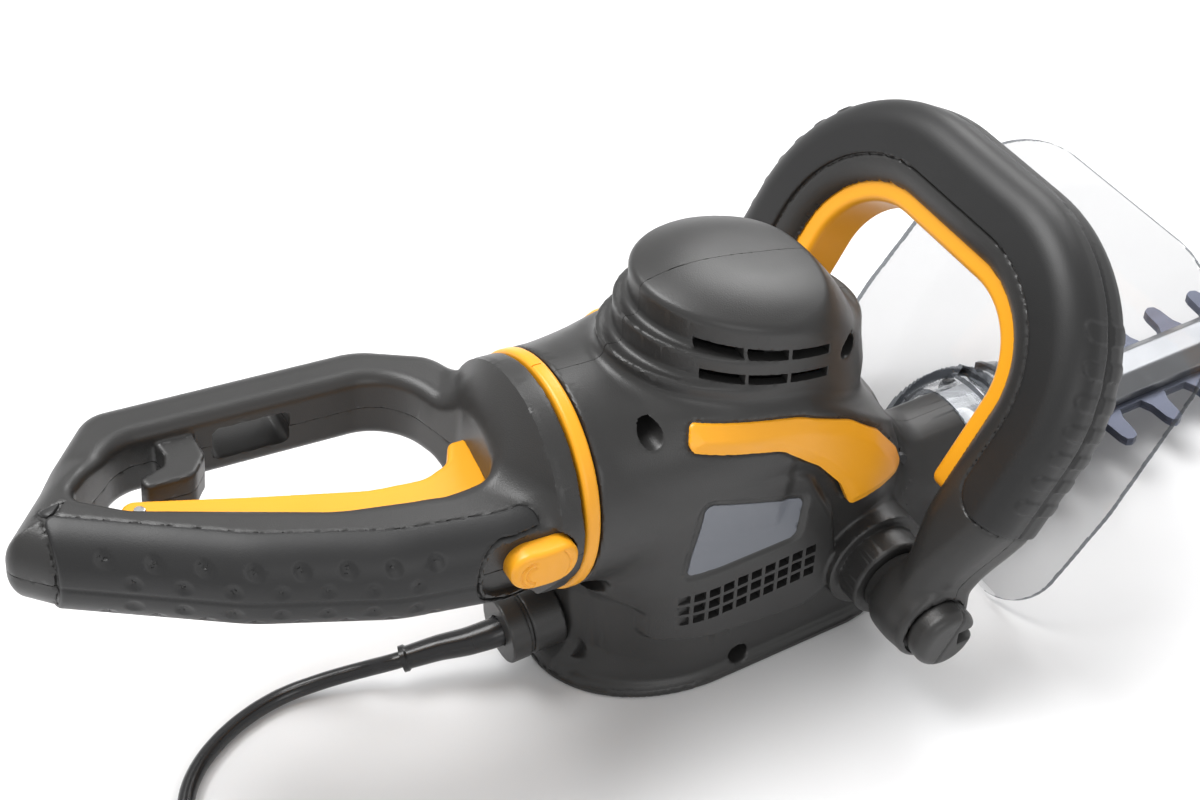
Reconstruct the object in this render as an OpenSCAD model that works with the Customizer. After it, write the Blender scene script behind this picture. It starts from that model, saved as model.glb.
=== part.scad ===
// Mains hedge trimmer with a swivelling rear handle, a loop front handle and a clear hand guard.
// Millimetres. X points forward along the blades, Y to the left, Z up.
// The origin is on the flat underside of the housing, straight below the motor shaft.

/* [Housing] */
// Half of the width of the housing
body_half = 45; // [44:1:48]
// Wall thickness of the plastic shells
wall = 2.6; // [2.2:0.2:3]
// Half the length of the oval motor dome
dome_a = 46.5; // [46:0.5:47]
// Half the width of the oval motor dome
dome_b = 36.5; // [36:0.5:37.5]
// Radius of the gear neck that carries the guard
neck_r = 29; // [28.5:0.5:30]

/* [Rear handle] */
// Height of the swivel axis where it crosses the yellow ring
swivel_z = 105; // [104:0.5:106]
// Angle by which the swivel axis rises towards the rear
swivel_tilt = 7; // [6.5:0.5:7.5]
// Outer radius of the yellow swivel ring
ring_r = 44.5; // [44:0.5:46]
// Half of the thickness of the rear handle at the grip
grip_half = 18; // [18:0.5:20]
// Half of the thickness of the rear handle at the hand bar
bar_half = 14.5; // [13:0.5:15]

/* [Front handle] */
// Angle by which the front handle leans forward
handle_lean = 30.5; // [30:0.5:31]
// Half of the width of the handle's bar, across the loop
tube_r = 17; // [16:0.5:17.5]
// Distance from the middle of the machine to the centre of a handle leg
leg_y = 77; // [76:1:80]
// Length from the floor, along the lean, to the centre of the top of the loop
loop_top = 183; // [181:1:188]

/* [Guard] */
// Angle by which the clear guard leans forward
guard_lean = 35.5; // [34:0.5:37]
// Thickness of the clear sheet
guard_t = 3; // [2.5:0.5:3.5]

/* [Blades] */
// Distance from one tooth to the next
pitch = 25; // [24:0.5:26]
// Teeth along one side of a blade
teeth = 24; // [16:1:25]
// Distance from the middle of the blade to a tooth's tip
tooth_reach = 32; // [30:0.5:34]
// Thickness of one blade
blade_t = 2; // [1.8:0.1:2]
// Travel of each blade to either side of its middle
blade_throw = 6.2; // [5:0.1:6.3]

/* [Motor] */
// Radius of the stator
stator_r = 36; // [34:0.5:36.5]
// Radius of the cooling fan
fan_r = 33; // [30:0.5:34]

/* [Cord] */
// Diameter of the mains cord
cord_d = 6.5; // [6:0.5:7]

/* [Hidden] */

$fn = 64;
far = 400;
seam = 0.05;

plastic = [0.22, 0.22, 0.23];
rubber = [0.10, 0.10, 0.11];
amber = [0.93, 0.62, 0.08];
clear = [0.85, 0.9, 0.92, 0.35];
steel = [0.62, 0.63, 0.65];
dark_steel = [0.16, 0.17, 0.20];
copper = [0.72, 0.42, 0.22];
alloy = [0.72, 0.73, 0.74];
black = [0.07, 0.07, 0.07];
slate = [0.35, 0.36, 0.40];

// Origins of the leaning frames of the rear handle, the front handle and the guard
swivel_x = -87;
handle_x = 16;
guard_x = 86;
hub_s = 43;
hub_x = handle_x + hub_s * sin(handle_lean);
hub_z = hub_s * cos(handle_lean);

// The blade stack, from below: lower blade, upper blade, guide bar
lower_z = 17;
upper_z = lower_z + blade_t + 0.2;
bar_z = upper_z + blade_t + 0.2;
bar_h = 9.5;
bar_half_w = 12.5;
bar_start = 72;
bar_end = 765;
first_tooth = 160;
blade_half_w = 15;
shank_half_w = 11;
blade_end = first_tooth + pitch * teeth - 10;
screw_xs = [for (i = [0:7]) 190 + 75 * i];

// Gear train: a pinion on the motor shaft drives a wheel with two opposed eccentrics
gear_module = 1;
pinion_teeth = 10;
wheel_teeth = 50;
gear_x = gear_module * (pinion_teeth + wheel_teeth) / 2;
gear_z = 33;
gear_h = 8;
gear_shaft_r = 5;
eccentric_r = 8;
yoke_x = eccentric_r + 2 * blade_throw + 0.4;
yoke_y = eccentric_r + blade_throw + 0.4;
yoke_rim = 3.6;

// Gear case
case_r = gear_module * wheel_teeth / 2 + 3.2;
case_wall = 3;
case_z0 = 10;
case_top = 48;
boss_top = 55;
chamber_x = yoke_x + yoke_rim + blade_throw + 1;
chamber_y = yoke_y + yoke_rim + 1;
nose_half = 19;
nose_end = 144;
nose_top = 36;

// Dome
dome_x = 2.5;
dome_rim = 161.7;
dome_tilt = 14.6;
dome_crown = 8;
cap_r = 123;

// Motor
shaft_r = 4;
bearing_z = 46.5;
bearing_h = 7;
bearing_r = 11;
fan_z = 60;
stator_z0 = 80;
stator_z1 = 118;
commutator_z = 122;
bracket_z = 135.5;
bracket_r = 31;
top_bearing_z = 150;
top_bearing_r = 9.5;

// ---------------------------------------------------------------- helpers

module swivel_frame() {
    translate([swivel_x, 0, swivel_z]) rotate([0, swivel_tilt, 0]) children();
}

module handle_frame() {
    translate([handle_x, 0, 0]) rotate([0, handle_lean, 0]) children();
}

module guard_frame() {
    translate([guard_x, 0, 0]) rotate([0, guard_lean, 0]) children();
}

// side is -1 for the right of the machine and 1 for the left
module on_side(side) {
    if (side < 0) mirror([0, 1, 0]) children();
    else children();
}

module both_sides() {
    children();
    mirror([0, 1, 0]) children();
}

module rod_x(r, x0, x1) {
    translate([x0, 0, 0]) rotate([0, 90, 0]) cylinder(h = x1 - x0, r = r);
}

module rod_y(r, y0, y1) {
    translate([0, y0, 0]) rotate([-90, 0, 0]) cylinder(h = y1 - y0, r = r);
}

module rod_z(r, z0, z1) {
    translate([0, 0, z0]) cylinder(h = z1 - z0, r = r);
}

module box(x0, x1, y0, y1, z0, z1) {
    translate([x0, y0, z0]) cube([x1 - x0, y1 - y0, z1 - z0]);
}

// A flat outline in the XZ plane, from y0 to y1
module slab_y(y0, y1) {
    translate([0, y1, 0]) rotate([90, 0, 0]) linear_extrude(height = y1 - y0) children();
}

// A flat outline in the YZ plane, from x0 to x1
module slab_x(x0, x1) {
    translate([x0, 0, 0]) rotate([90, 0, 90]) linear_extrude(height = x1 - x0) children();
}

function unit(v) = v / norm(v);

function xy(p) = [p[0], p[1]];

// An arc that rounds the corner b between the edges to a and to c
function corner_arc(a, b, c, r, steps = 5) =
    let (
        u = unit(a - b),
        v = unit(c - b),
        half = acos(max(-1, min(1, u * v))) / 2,
        centre = b + unit(u + v) * r / sin(half),
        p = b + u * r / tan(half) - centre,
        q = b + v * r / tan(half) - centre,
        from = atan2(p[1], p[0]),
        turn = atan2(p[0] * q[1] - p[1] * q[0], p * q)
    )
    [for (i = [0:steps]) centre + r * [cos(from + turn * i / steps), sin(from + turn * i / steps)]];

// A closed outline with rounded corners; each point is [x, y, corner radius]
function rounded(pts) =
    let (n = len(pts))
    [for (i = [0:n - 1])
        let (a = xy(pts[(i + n - 1) % n]), b = xy(pts[i]), c = xy(pts[(i + 1) % n]))
        each pts[i][2] > 0 ? corner_arc(a, b, c, pts[i][2]) : [b]];

// The same outline moved inwards by d; the points run anticlockwise
function inset(pts, d) =
    let (n = len(pts))
    [for (i = [0:n - 1])
        let (
            e = unit(xy(pts[i]) - xy(pts[(i + n - 1) % n])),
            f = unit(xy(pts[(i + 1) % n]) - xy(pts[i])),
            g = [-e[1] - f[1], e[0] + f[0]] / (1 + e * f),
            bend = e[0] * f[1] - e[1] * f[0] > 0 ? -d : d
        )
        [pts[i][0] + g[0] * d, pts[i][1] + g[1] * d, pts[i][2] > 0 ? max(pts[i][2] + bend, 0.5) : 0]];

// ---------------------------------------------------------------- housing

module plan_outline(d) {
    rear = -35;
    front = 28;
    translate([rear, 0]) circle(r = body_half - d);
    translate([front, 0]) circle(r = body_half - d);
    translate([rear, d - body_half]) square([front - rear, 2 * (body_half - d)]);
}

// Side outline of the lower body; its top falls at the front to the gear neck
side_pts = [[-90, 0, 0], [100, 0, 0], [100, 46, 0], [84, 51, 14], [62, 76, 24], [48, 100, 12],
    [20, 108, 12], [-84, 110, 0], [-84, 60, 4], [-90, 40, 4]];

// The shoulder: narrower steps above the flank, each [half length, half width, drop of its top]
shoulder_steps = [[85, 40, 0], [86, 43, 8]];
shoulder_x = 7;
shoulder_pts = [[-79, 60, 0], [60, 60, 0], [51, 92, 0], [38, 112, 6], [21, 116, 12], [7, 125, 12],
    [-21, 134.7, 12], [-50, 139.4, 12], [-68, 142, 12], [-79, 145, 0]];

// The dome's tiers, each [how far it reaches further back, how far its top lies lower]
dome_tiers = [[0, 0], [6.4, 12.8], [13.5, 24]];

function ellipse(a, b) = [for (i = [0:47]) [a * cos(7.5 * i), b * sin(7.5 * i)]];

// Side of the dome's cap, for turning about the tilted axis; its top lies at the height given
function cap_profile(top) = [[0, -120], [70, -120],
    for (r = [70:-10:0]) [r, top - r * r / (2 * cap_r)]];

module dome_frame() {
    translate([dome_x, 0, dome_rim]) rotate([0, dome_tilt, 0]) children();
}

module dome_form(d) {
    for (tier = dome_tiers) intersection() {
        translate([dome_x - tier[0] / 2, 0, 30]) linear_extrude(height = 160)
            polygon(ellipse(dome_a + tier[0] / 2 - d, dome_b - d));
        dome_frame() rotate_extrude() polygon(cap_profile(dome_crown - tier[1] - d));
    }
}

module shoulder_form(d) {
    for (step = shoulder_steps) intersection() {
        translate([shoulder_x, 0, 60]) linear_extrude(height = 100)
            polygon(ellipse(step[0] - d, step[1] - d));
        slab_y(-far, far) translate([0, -step[2]]) polygon(rounded(inset(shoulder_pts, d)));
    }
}

module barrel_form(d) {
    swivel_frame() rod_x(ring_r - 1 - d, 4, 84 - d);
}

module flank_form(d) {
    intersection() {
        translate([0, 0, d]) linear_extrude(height = 125) plan_outline(d);
        slab_y(-far, far) polygon(rounded(inset(side_pts, d)));
    }
    shoulder_form(d);
    barrel_form(d);
}

// The outer form of the body, or its cavity when d is the wall
module body_form(d) {
    flank_form(d);
    dome_form(d);
    intersection() {
        translate([0, 0, 21]) rod_x(neck_r - d, 40, 107);
        box(0, far, -far, far, d, far);
    }
}

module hub_frame() {
    translate([hub_x, 0, hub_z]) children();
}

module side_bosses() {
    both_sides() hub_frame() {
        rod_y(20, 30, 50);
        rod_y(16, 50, 59.6);
    }
}

// Screws of the housing, as [x, z]
housing_spots = [[-55, 135], [24, 142], [-73, 58], [-68, 14], [-14, 8], [69, 50]];

module at_spots(spots) {
    for (s = spots) translate([s[0], 0, s[1]]) children();
}

// Slots of the motor vents and the square grid of the gear vents
module vents() {
    both_sides() {
        for (row = [0, 1], col = [0:2]) {
            dome_frame() translate([-37 + 16.3 * col, 20, -14.4 - 11.2 * row]) cube([14.6, 40, 5]);
        }
        for (row = [0:2], col = [0:9]) {
            translate([-47 + 5.9 * col, 36, 36.5 + 6.2 * row]) cube([4.4, 20, 4.4]);
        }
    }
}

// The swivel hub of the rear handle turns inside this rib, and its flange behind it
module swivel_rib() {
    swivel_frame() difference() {
        rod_x(ring_r - 1.5, 4, 10);
        rod_x(36.3, 3, 11);
    }
}

module case_pocket() {
    box(gear_x - chamber_x - 5, gear_x + chamber_x + 5, -chamber_y - 4, chamber_y + 4, 4, 30);
    translate([gear_x, 0, 0]) rod_z(case_r + case_wall + 1, 4, case_top + 2);
}

module housing_half(side) {
    color(plastic) difference() {
        union() {
            difference() {
                union() {
                    body_form(0);
                    side_bosses();
                }
                body_form(wall);
                swivel_frame() rod_x(ring_r - 1 - wall, 3, 40);
            }
            swivel_rib();
            intersection() {
                at_spots(housing_spots) rod_y(4.4, -body_half, body_half);
                body_form(1);
            }
        }
        case_pocket();
        at_spots(housing_spots) rod_y(1.8, -17, 16);
        at_spots(housing_spots) rod_y(3.6, -far, -16);
        vents();
        box(-far, far, side < 0 ? -seam : -far, side < 0 ? far : seam, -far, far);
        translate([0, 0, 25]) rod_x(9.3, -100, -60);
        hub_frame() rod_y(4.1, -70, 70);
        swivel_frame() rod_x(37, -10, 4);
        box(90, 120, -nose_half - 0.3, nose_half + 0.3, case_z0 - 0.3, nose_top + 0.3);
    }
}

module housing_right() { housing_half(-1); }

module housing_left() { housing_half(1); }

// Raised trim on the flank, and the plain plate below it
flash_pts = [[-48, 145, 3], [-48, 131, 3], [-8, 112, 14], [9.5, 97, 10], [21.5, 72, 4], [50, 76, 6],
    [36, 101, 12], [22, 113, 16], [-1, 127, 30]];
flash_t = 1.8;
badge_pts = [[-46, 64, 3], [1, 65, 3], [2, 86, 3], [-43, 102, 3]];

module flank_plate(side, pts, t) {
    on_side(side) slab_y(body_half + seam, body_half + t) polygon(rounded(pts));
}

// A trim that follows the flank and its shoulder
module flash(side) {
    color(amber) intersection() {
        difference() {
            flank_form(-flash_t);
            flank_form(0.02);
            body_form(0);
        }
        on_side(side) slab_y(22, far) polygon(rounded(flash_pts));
    }
}

module flash_right() { flash(-1); }

module flash_left() { flash(1); }

module badge_right() { color(slate) flank_plate(-1, badge_pts, 1); }

module badge_left() { color(slate) flank_plate(1, badge_pts, 1); }

module housing_screws() {
    color(steel) at_spots(housing_spots) {
        rod_y(1.75, -17, 15);
        rod_y(3.5, -18, -16.1);
    }
}

module swivel_ring() {
    color(amber) swivel_frame() difference() {
        rod_x(ring_r, -2.4, 3.8);
        rod_x(37.2, -10, 10);
    }
}

// ---------------------------------------------------------------- motor

module stator() {
    color(steel) difference() {
        rod_z(stator_r, stator_z0, stator_z1);
        difference() {
            rod_z(stator_r - 6, stator_z0 - 1, stator_z1 + 1);
            both_sides() box(-14, 14, 20, 40, stator_z0 - 2, stator_z1 + 2);
        }
        rod_z(23.8, stator_z0 - 1, stator_z1 + 1);
    }
}

module field_coils() {
    color(copper) difference() {
        rod_z(stator_r - 6.5, stator_z0 - 6, stator_z1 + 5);
        rod_z(25, stator_z0 - 7, stator_z1 + 6);
        both_sides() box(-15, 15, 15, 40, stator_z0 - 0.5, stator_z1 + 0.5);
        box(-4, 4, -40, 40, stator_z0 - 7, stator_z1 + 6);
    }
}

module motor_bracket() {
    color(black) difference() {
        union() {
            rod_z(bracket_r, bracket_z, bracket_z + 3.5);
            box(-8, 8, -26, 26, bracket_z + 3, top_bearing_z + 8);
        }
        translate([housing_spots[1][0], 0, housing_spots[1][1]]) rod_y(5, -far, far);
        rod_z(15, bracket_z - 1, top_bearing_z - 2);
        rod_z(top_bearing_r, top_bearing_z - 3, top_bearing_z + 6);
    }
}

module upper_bearing() {
    color(steel) difference() {
        rod_z(top_bearing_r - 0.02, top_bearing_z, top_bearing_z + 6);
        rod_z(3.02, top_bearing_z - 1, top_bearing_z + 7);
    }
}

module lower_bearing() {
    color(steel) difference() {
        rod_z(bearing_r, bearing_z, bearing_z + bearing_h);
        rod_z(shaft_r + 0.02, bearing_z - 1, bearing_z + bearing_h + 1);
    }
}

module brush_pair() {
    for (turn = [0, 180]) rotate([0, 0, turn]) children();
}

module brush_holders() {
    color("goldenrod") brush_pair() difference() {
        box(16, 35, -5, 5, bracket_z - 11, bracket_z - 0.1);
        box(15, 33, -3.1, 3.1, bracket_z - 9.1, bracket_z - 2.9);
    }
}

module carbon_brushes() {
    color(black) brush_pair() box(13.4, 27, -3, 3, bracket_z - 9, bracket_z - 3);
}

// Angle between the radius to a point on an involute and the involute's root, in degrees
function involute(base, r) = let (a = acos(min(1, base / r))) tan(a) * 180 / PI - a;

// One half of a tooth, from root to tip, as [radius, angle]; play thins the tooth
function half_tooth(z, m, tip, root, play) =
    let (
        pitch_r = m * z / 2,
        base = pitch_r * cos(20),
        at_pitch = (PI * m / 4 - play) / pitch_r * 180 / PI + involute(base, pitch_r),
        from = max(base, root)
    )
    concat([[root, at_pitch - involute(base, from)]],
        [for (k = [0:3]) let (r = from + (tip - from) * k / 3) [r, at_pitch - involute(base, r)]]);

function gear_points(z, m, tip, root, play) =
    let (half = half_tooth(z, m, tip, root, play), n = len(half))
    [for (i = [0:z - 1])
        each [for (k = [0:2 * n - 1])
            let (
                p = k < n ? half[k] : half[2 * n - 1 - k],
                a = 360 * i / z + (k < n ? -p[1] : p[1])
            )
            p[0] * [cos(a), sin(a)]]];

module armature_shaft() {
    color(steel) {
        rod_z(shaft_r, gear_z + gear_h, top_bearing_z - 2);
        rod_z(3, top_bearing_z - 2.5, top_bearing_z + 5.5);
        rod_z(4.8, bearing_z + bearing_h + 0.2, fan_z - 0.1);
        translate([0, 0, gear_z - 0.5]) linear_extrude(height = gear_h + 1)
            polygon(gear_points(pinion_teeth, gear_module, 5.75, 3.9, 0.12));
    }
}

module armature_core() {
    color(dark_steel) difference() {
        union() {
            rod_z(22.8, stator_z0, stator_z1);
            rod_z(18, stator_z0 - 6, commutator_z - 0.1);
        }
        rod_z(shaft_r, fan_z, commutator_z + 1);
        for (slot = [0:11]) rotate([0, 0, 30 * slot]) {
            box(20.5, 24, -1.2, 1.2, stator_z0 - 1, stator_z1 + 1);
        }
    }
}

module commutator() {
    color(copper) difference() {
        rod_z(13, commutator_z, bracket_z + 0.5);
        rod_z(shaft_r, commutator_z - 1, bracket_z + 1);
        for (bar = [0:23]) rotate([0, 0, 15 * bar]) {
            box(12.3, 14, -0.25, 0.25, commutator_z + 1.5, bracket_z + 1);
        }
    }
}

module fan() {
    color(black) difference() {
        union() {
            rod_z(fan_r, fan_z + 10, fan_z + 12);
            rod_z(9, fan_z, fan_z + 12);
            for (vane = [0:10]) rotate([0, 0, 360 / 11 * vane]) {
                box(8, fan_r, -0.8, 0.8, fan_z, fan_z + 11);
            }
        }
        rod_z(shaft_r, fan_z - 1, fan_z + 13);
    }
}

module reduction_gear() {
    color(steel) translate([gear_x, 0, 0]) {
        translate([0, 0, gear_z]) rotate([0, 0, 180 / wheel_teeth]) linear_extrude(height = gear_h)
            polygon(gear_points(wheel_teeth, gear_module, 25.7, 23.7, 0.12));
        rod_z(gear_shaft_r, gear_z + gear_h - 1, case_top + 4);
        translate([0, blade_throw, 0]) rod_z(eccentric_r, upper_z - 0.1, gear_z + 1);
        translate([0, -blade_throw, 0]) rod_z(eccentric_r, lower_z - 1, upper_z - 0.1);
        rod_z(gear_shaft_r, case_z0 + 0.5, lower_z - 0.9);
    }
}

// ---------------------------------------------------------------- gear case

module case_form(d) {
    translate([gear_x, 0, 0]) rod_z(case_r + case_wall - d, case_z0 + d, case_top - d);
    box(gear_x - chamber_x - case_wall + d, gear_x + chamber_x + case_wall - d,
        d - chamber_y - case_wall, chamber_y + case_wall - d, case_z0 + d, 31 - d);
}

module gear_case() {
    color(alloy) difference() {
        union() {
            case_form(0);
            rod_z(bearing_r + 4, 31, boss_top);
            box(50, nose_end, -nose_half, nose_half, case_z0, nose_top);
        }
        difference() {
            case_form(case_wall);
            box(63, 80, -far, far, 0, far);
        }
        translate([gear_x, 0, 0]) rod_z(case_r, case_z0 - 1, 20);
        box(gear_x - chamber_x, gear_x + chamber_x, -chamber_y, chamber_y, case_z0 - 1, 26);
        rod_z(8, 28, case_top - case_wall);
        rod_z(bearing_r, bearing_z, boss_top + 1);
        rod_z(6, 30, boss_top + 1);
        translate([gear_x, 0, 0]) rod_z(8, case_top - 6, case_top + 1);
        box(45, nose_end + 1, -bar_half_w - 0.4, bar_half_w + 0.4, lower_z - 4, bar_z);
        box(bar_start, nose_end + 1, -bar_half_w, bar_half_w, bar_z - 1, bar_z + bar_h);
        box(50, nose_end + 1, -6, 6, case_z0 - 1, lower_z);
        for (x = [84, 116]) translate([x, 0, 0]) rod_z(3, 20, far);
        translate([guard_screw_x, 0, guard_screw_z]) rod_y(1.8, -far, far);
        for (p = plate_spots) translate(p) rod_z(1.5, case_z0 - 1, case_z0 + 10);
    }
}

guard_screw_x = 132;
guard_screw_z = 25;
plate_spots = [[-5, -21], [-5, 21], [60.5, -21], [60.5, 21]];

module gear_case_plate() {
    color(steel) difference() {
        translate([0, 0, case_z0 - 3.1]) linear_extrude(height = 3) {
            translate([gear_x, 0]) circle(r = case_r + case_wall);
            translate([gear_x - chamber_x - case_wall, -chamber_y - case_wall])
                square([2 * (chamber_x + case_wall), 2 * (chamber_y + case_wall)]);
        }
        for (p = plate_spots) translate(p) rod_z(1.7, 0, 20);
    }
    color(steel) translate([gear_x, 0, 0]) difference() {
        rod_z(9, case_z0 - 1, lower_z - 1.4);
        rod_z(gear_shaft_r + 0.03, case_z0 + 0.2, 20);
    }
}

module gear_case_screws() {
    color(dark_steel) for (p = plate_spots) translate(p) {
        rod_z(1.48, case_z0 - 4, case_z0 + 8);
        rod_z(3, case_z0 - 5.2, case_z0 - 3.2);
    }
}

module gear_bush() {
    color("goldenrod") translate([gear_x, 0, 0]) difference() {
        rod_z(8, case_top - 5.9, case_top);
        rod_z(gear_shaft_r + 0.03, case_top - 7, case_top + 1);
    }
}

// ---------------------------------------------------------------- blades

function tooth(x, side) = [[x - 6.5, 15], [x - 4.2, 20], [x - 3.6, 28], [x - 2.6, 31], [x, 32],
    [x + 2.6, 31], [x + 3.6, 28], [x + 4.2, 20], [x + 6.5, 15]];

// Outline of a blade: teeth along the right, then back along the left, half a pitch further on
blade_points = concat(
    [[gear_x, -shank_half_w], [first_tooth - 8, -shank_half_w]],
    [for (i = [0:teeth - 1], p = tooth(first_tooth + pitch * i))
        [p[0], -p[1] * (p[1] > 30 ? tooth_reach / 32 : 1)]],
    [[blade_end + 6, -15], [blade_end + 12, -9], [blade_end + 12, 9], [blade_end + 6, 15]],
    [for (i = [teeth - 1:-1:0], k = [8:-1:0])
        let (p = tooth(first_tooth + pitch * (i + 0.5))[k])
        if (p[0] < blade_end + 4) [p[0], p[1] * (p[1] > 30 ? tooth_reach / 32 : 1)]],
    [[first_tooth - 6, 15], [first_tooth - 8, shank_half_w], [gear_x, shank_half_w]]);

module blade(z) {
    difference() {
        translate([0, 0, z]) linear_extrude(height = blade_t) union() {
            polygon(blade_points);
            translate([gear_x - yoke_x - yoke_rim, -yoke_y - yoke_rim])
                square([2 * (yoke_x + yoke_rim), 2 * (yoke_y + yoke_rim)]);
        }
        box(gear_x - yoke_x, gear_x + yoke_x, -yoke_y, yoke_y, z - 1, z + blade_t + 1);
        for (x = screw_xs) {
            reach = blade_throw + 0.2;
            box(x - reach, x + reach, -3.2, 3.2, z - 1, z + blade_t + 1);
            translate([x - reach, 0, 0]) rod_z(3.2, z - 1, z + blade_t + 1);
            translate([x + reach, 0, 0]) rod_z(3.2, z - 1, z + blade_t + 1);
        }
    }
}

module upper_blade() { color(dark_steel) blade(upper_z); }

module lower_blade() { color(dark_steel) blade(lower_z); }

bar_pts = [[-bar_half_w, 0, 0], [bar_half_w, 0, 0], [bar_half_w, 4, 2], [6, bar_h, 3], [-6, bar_h, 3],
    [-bar_half_w, 4, 2]];

module guide_bar() {
    color(alloy) difference() {
        translate([0, 0, bar_z]) slab_x(bar_start, bar_end) polygon(rounded(bar_pts));
        for (x = screw_xs) translate([x, 0, 0]) rod_z(3, bar_z - 1, bar_z + 6);
        for (x = [84, 116]) translate([x, 0, 0]) rod_z(3, bar_z - 1, far);
    }
}

module blade_screws() {
    color(steel) for (x = screw_xs) translate([x, 0, 0]) {
        rod_z(2.98, lower_z - 1, bar_z + 5.8);
        rod_z(7, lower_z - 1.6, lower_z - 0.2);
        rod_z(5, lower_z - 4.6, lower_z - 1.5);
    }
    color(steel) for (x = [84, 116]) translate([x, 0, 0]) {
        rod_z(2.98, bar_z, nose_top + 0.1);
        rod_z(5, nose_top + 0.05, nose_top + 3);
    }
}

module tip_guard() {
    color(plastic) difference() {
        union() {
            box(bar_end - 12, bar_end + 9, -16, 16, lower_z - 6, bar_z + bar_h + 2);
            translate([bar_end + 9, 0, 0]) intersection() {
                rod_z(16, lower_z - 6, bar_z + bar_h + 2);
                box(0, 20, -20, 20, 0, 60);
            }
        }
        box(0, bar_end + 4, -18, 18, lower_z - 3, bar_z);
        translate([0, 0, bar_z - 0.1]) slab_x(0, bar_end + 0.1) polygon(rounded(inset(bar_pts, -0.1)));
    }
}

// ---------------------------------------------------------------- guard

guard_pts = [[-79, 3, 25], [79, 3, 25], [81.5, 62, 30], [76, 161, 48], [-76, 161, 48], [-81.5, 62, 30]];

module guard() {
    color(clear) difference() {
        union() {
            guard_frame() slab_x(0, guard_t) polygon(rounded(guard_pts));
            intersection() {
                translate([0, 0, 21]) rod_x(neck_r, 107.3, nose_end);
                box(0, far, -far, far, 3, far);
            }
            for (x = [120, 134]) intersection() {
                translate([0, 0, 21]) rod_x(neck_r + 3, x, x + 2);
                box(0, far, -18, 18, 21, far);
            }
        }
        translate([0, 0, 21]) rod_x(neck_r + 0.3, 0, 107.3);
        translate([0, 0, 21]) rod_x(neck_r - 2.8, 100, far);
        box(60, far, -14.5, 14.5, -10, 12);
        translate([guard_screw_x, 0, guard_screw_z]) rod_y(2.2, -far, far);
    }
}

module guard_screws() {
    color(steel) both_sides() translate([guard_screw_x, 0, guard_screw_z]) {
        rod_y(1.78, 13, neck_r);
        rod_y(4, neck_r, neck_r + 2.5);
    }
}

// ---------------------------------------------------------------- front handle

handle_pts = [[-82, hub_s - 18, 12], [-60, hub_s - 18, 8], [tube_r - leg_y, loop_top - tube_r, 22],
    [leg_y - tube_r, loop_top - tube_r, 22], [60, hub_s - 18, 8], [82, hub_s - 18, 12],
    [leg_y + tube_r, 84, 30], [leg_y + tube_r, loop_top + tube_r, 50],
    [-leg_y - tube_r, loop_top + tube_r, 50], [-leg_y - tube_r, 84, 30]];

bar_in = leg_y - tube_r - 3;
bar_out = leg_y - tube_r + 6;
switch_top = loop_top - tube_r - 3;
switch_foot = 88;
switch_travel = 5;

function switch_pts(grow, lift) = [
    [-bar_out - grow, switch_foot - grow, 2], [-bar_in + grow, switch_foot - grow, 2],
    [-bar_in + grow, switch_top - grow, 18], [bar_in - grow, switch_top - grow, 18],
    [bar_in - grow, switch_foot - grow, 2], [bar_out + grow, switch_foot - grow, 2],
    [bar_out + grow, switch_top + 9 + grow + lift, 27], [-bar_out - grow, switch_top + 9 + grow + lift, 27]];

// Two layers of the loop, full width near the middle and narrower at the faces
module handle_form(d) {
    slab_x(d - 11, 11 - d) polygon(rounded(inset(handle_pts, d)));
    slab_x(d - 16, 16 - d) polygon(rounded(inset(handle_pts, d + 4)));
}

module handle_shell(side) {
    color(plastic) difference() {
        handle_frame() difference() {
            handle_form(0);
            intersection() {
                handle_form(wall);
                box(-far, far, -far, far, hub_s + 22, far);
            }
            slab_x(-9.4, 9.4) polygon(rounded(switch_pts(0.4, switch_travel)));
            box(side < 0 ? -seam : -far, side < 0 ? far : seam, -far, far, -far, far);
        }
        hub_frame() rod_y(4.1, -far, far);
        hub_frame() both_sides() {
            rod_y(16.4, 40, 60.2);
            rod_y(13.4, 84.1, far);
        }
    }
}

module handle_shell_rear() { handle_shell(-1); }

module handle_shell_front() { handle_shell(1); }

// The skin on the outer side of the loop
module handle_grip() {
    color(rubber) handle_frame() intersection() {
        difference() {
            slab_x(-10.8, 10.8) polygon(rounded(inset(handle_pts, -1.6)));
            slab_x(-12, 12) polygon(rounded(inset(handle_pts, -0.05)));
            slab_x(-12, 12) polygon(rounded([[-leg_y, 0, 0], [leg_y, 0, 0], [leg_y, loop_top, 35],
                [-leg_y, loop_top, 35]]));
        }
        box(-20, 20, -far, far, 92, far);
    }
}

module switch_bar() {
    color(amber) handle_frame() slab_x(-9, 9) polygon(rounded(switch_pts(0, 0)));
}

module handle_bolts() {
    color(steel) hub_frame() both_sides() {
        rod_y(4, 34, 84);
        rod_y(7, 31.8, 35);
    }
}

module handle_knobs() {
    color(plastic) hub_frame() both_sides() difference() {
        rod_y(13, 84.3, 94);
        rod_y(4.05, 80, 84.6);
        box(4, 20, 88, 100, -3, 3);
    }
}

module handle_switch() {
    color(black) handle_frame() {
        box(-5, 5, -14, 14, loop_top - 1, loop_top + 11);
        box(-1.5, 1.5, -5, -2, loop_top - 4.5, loop_top);
    }
}

// ---------------------------------------------------------------- rear handle

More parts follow.
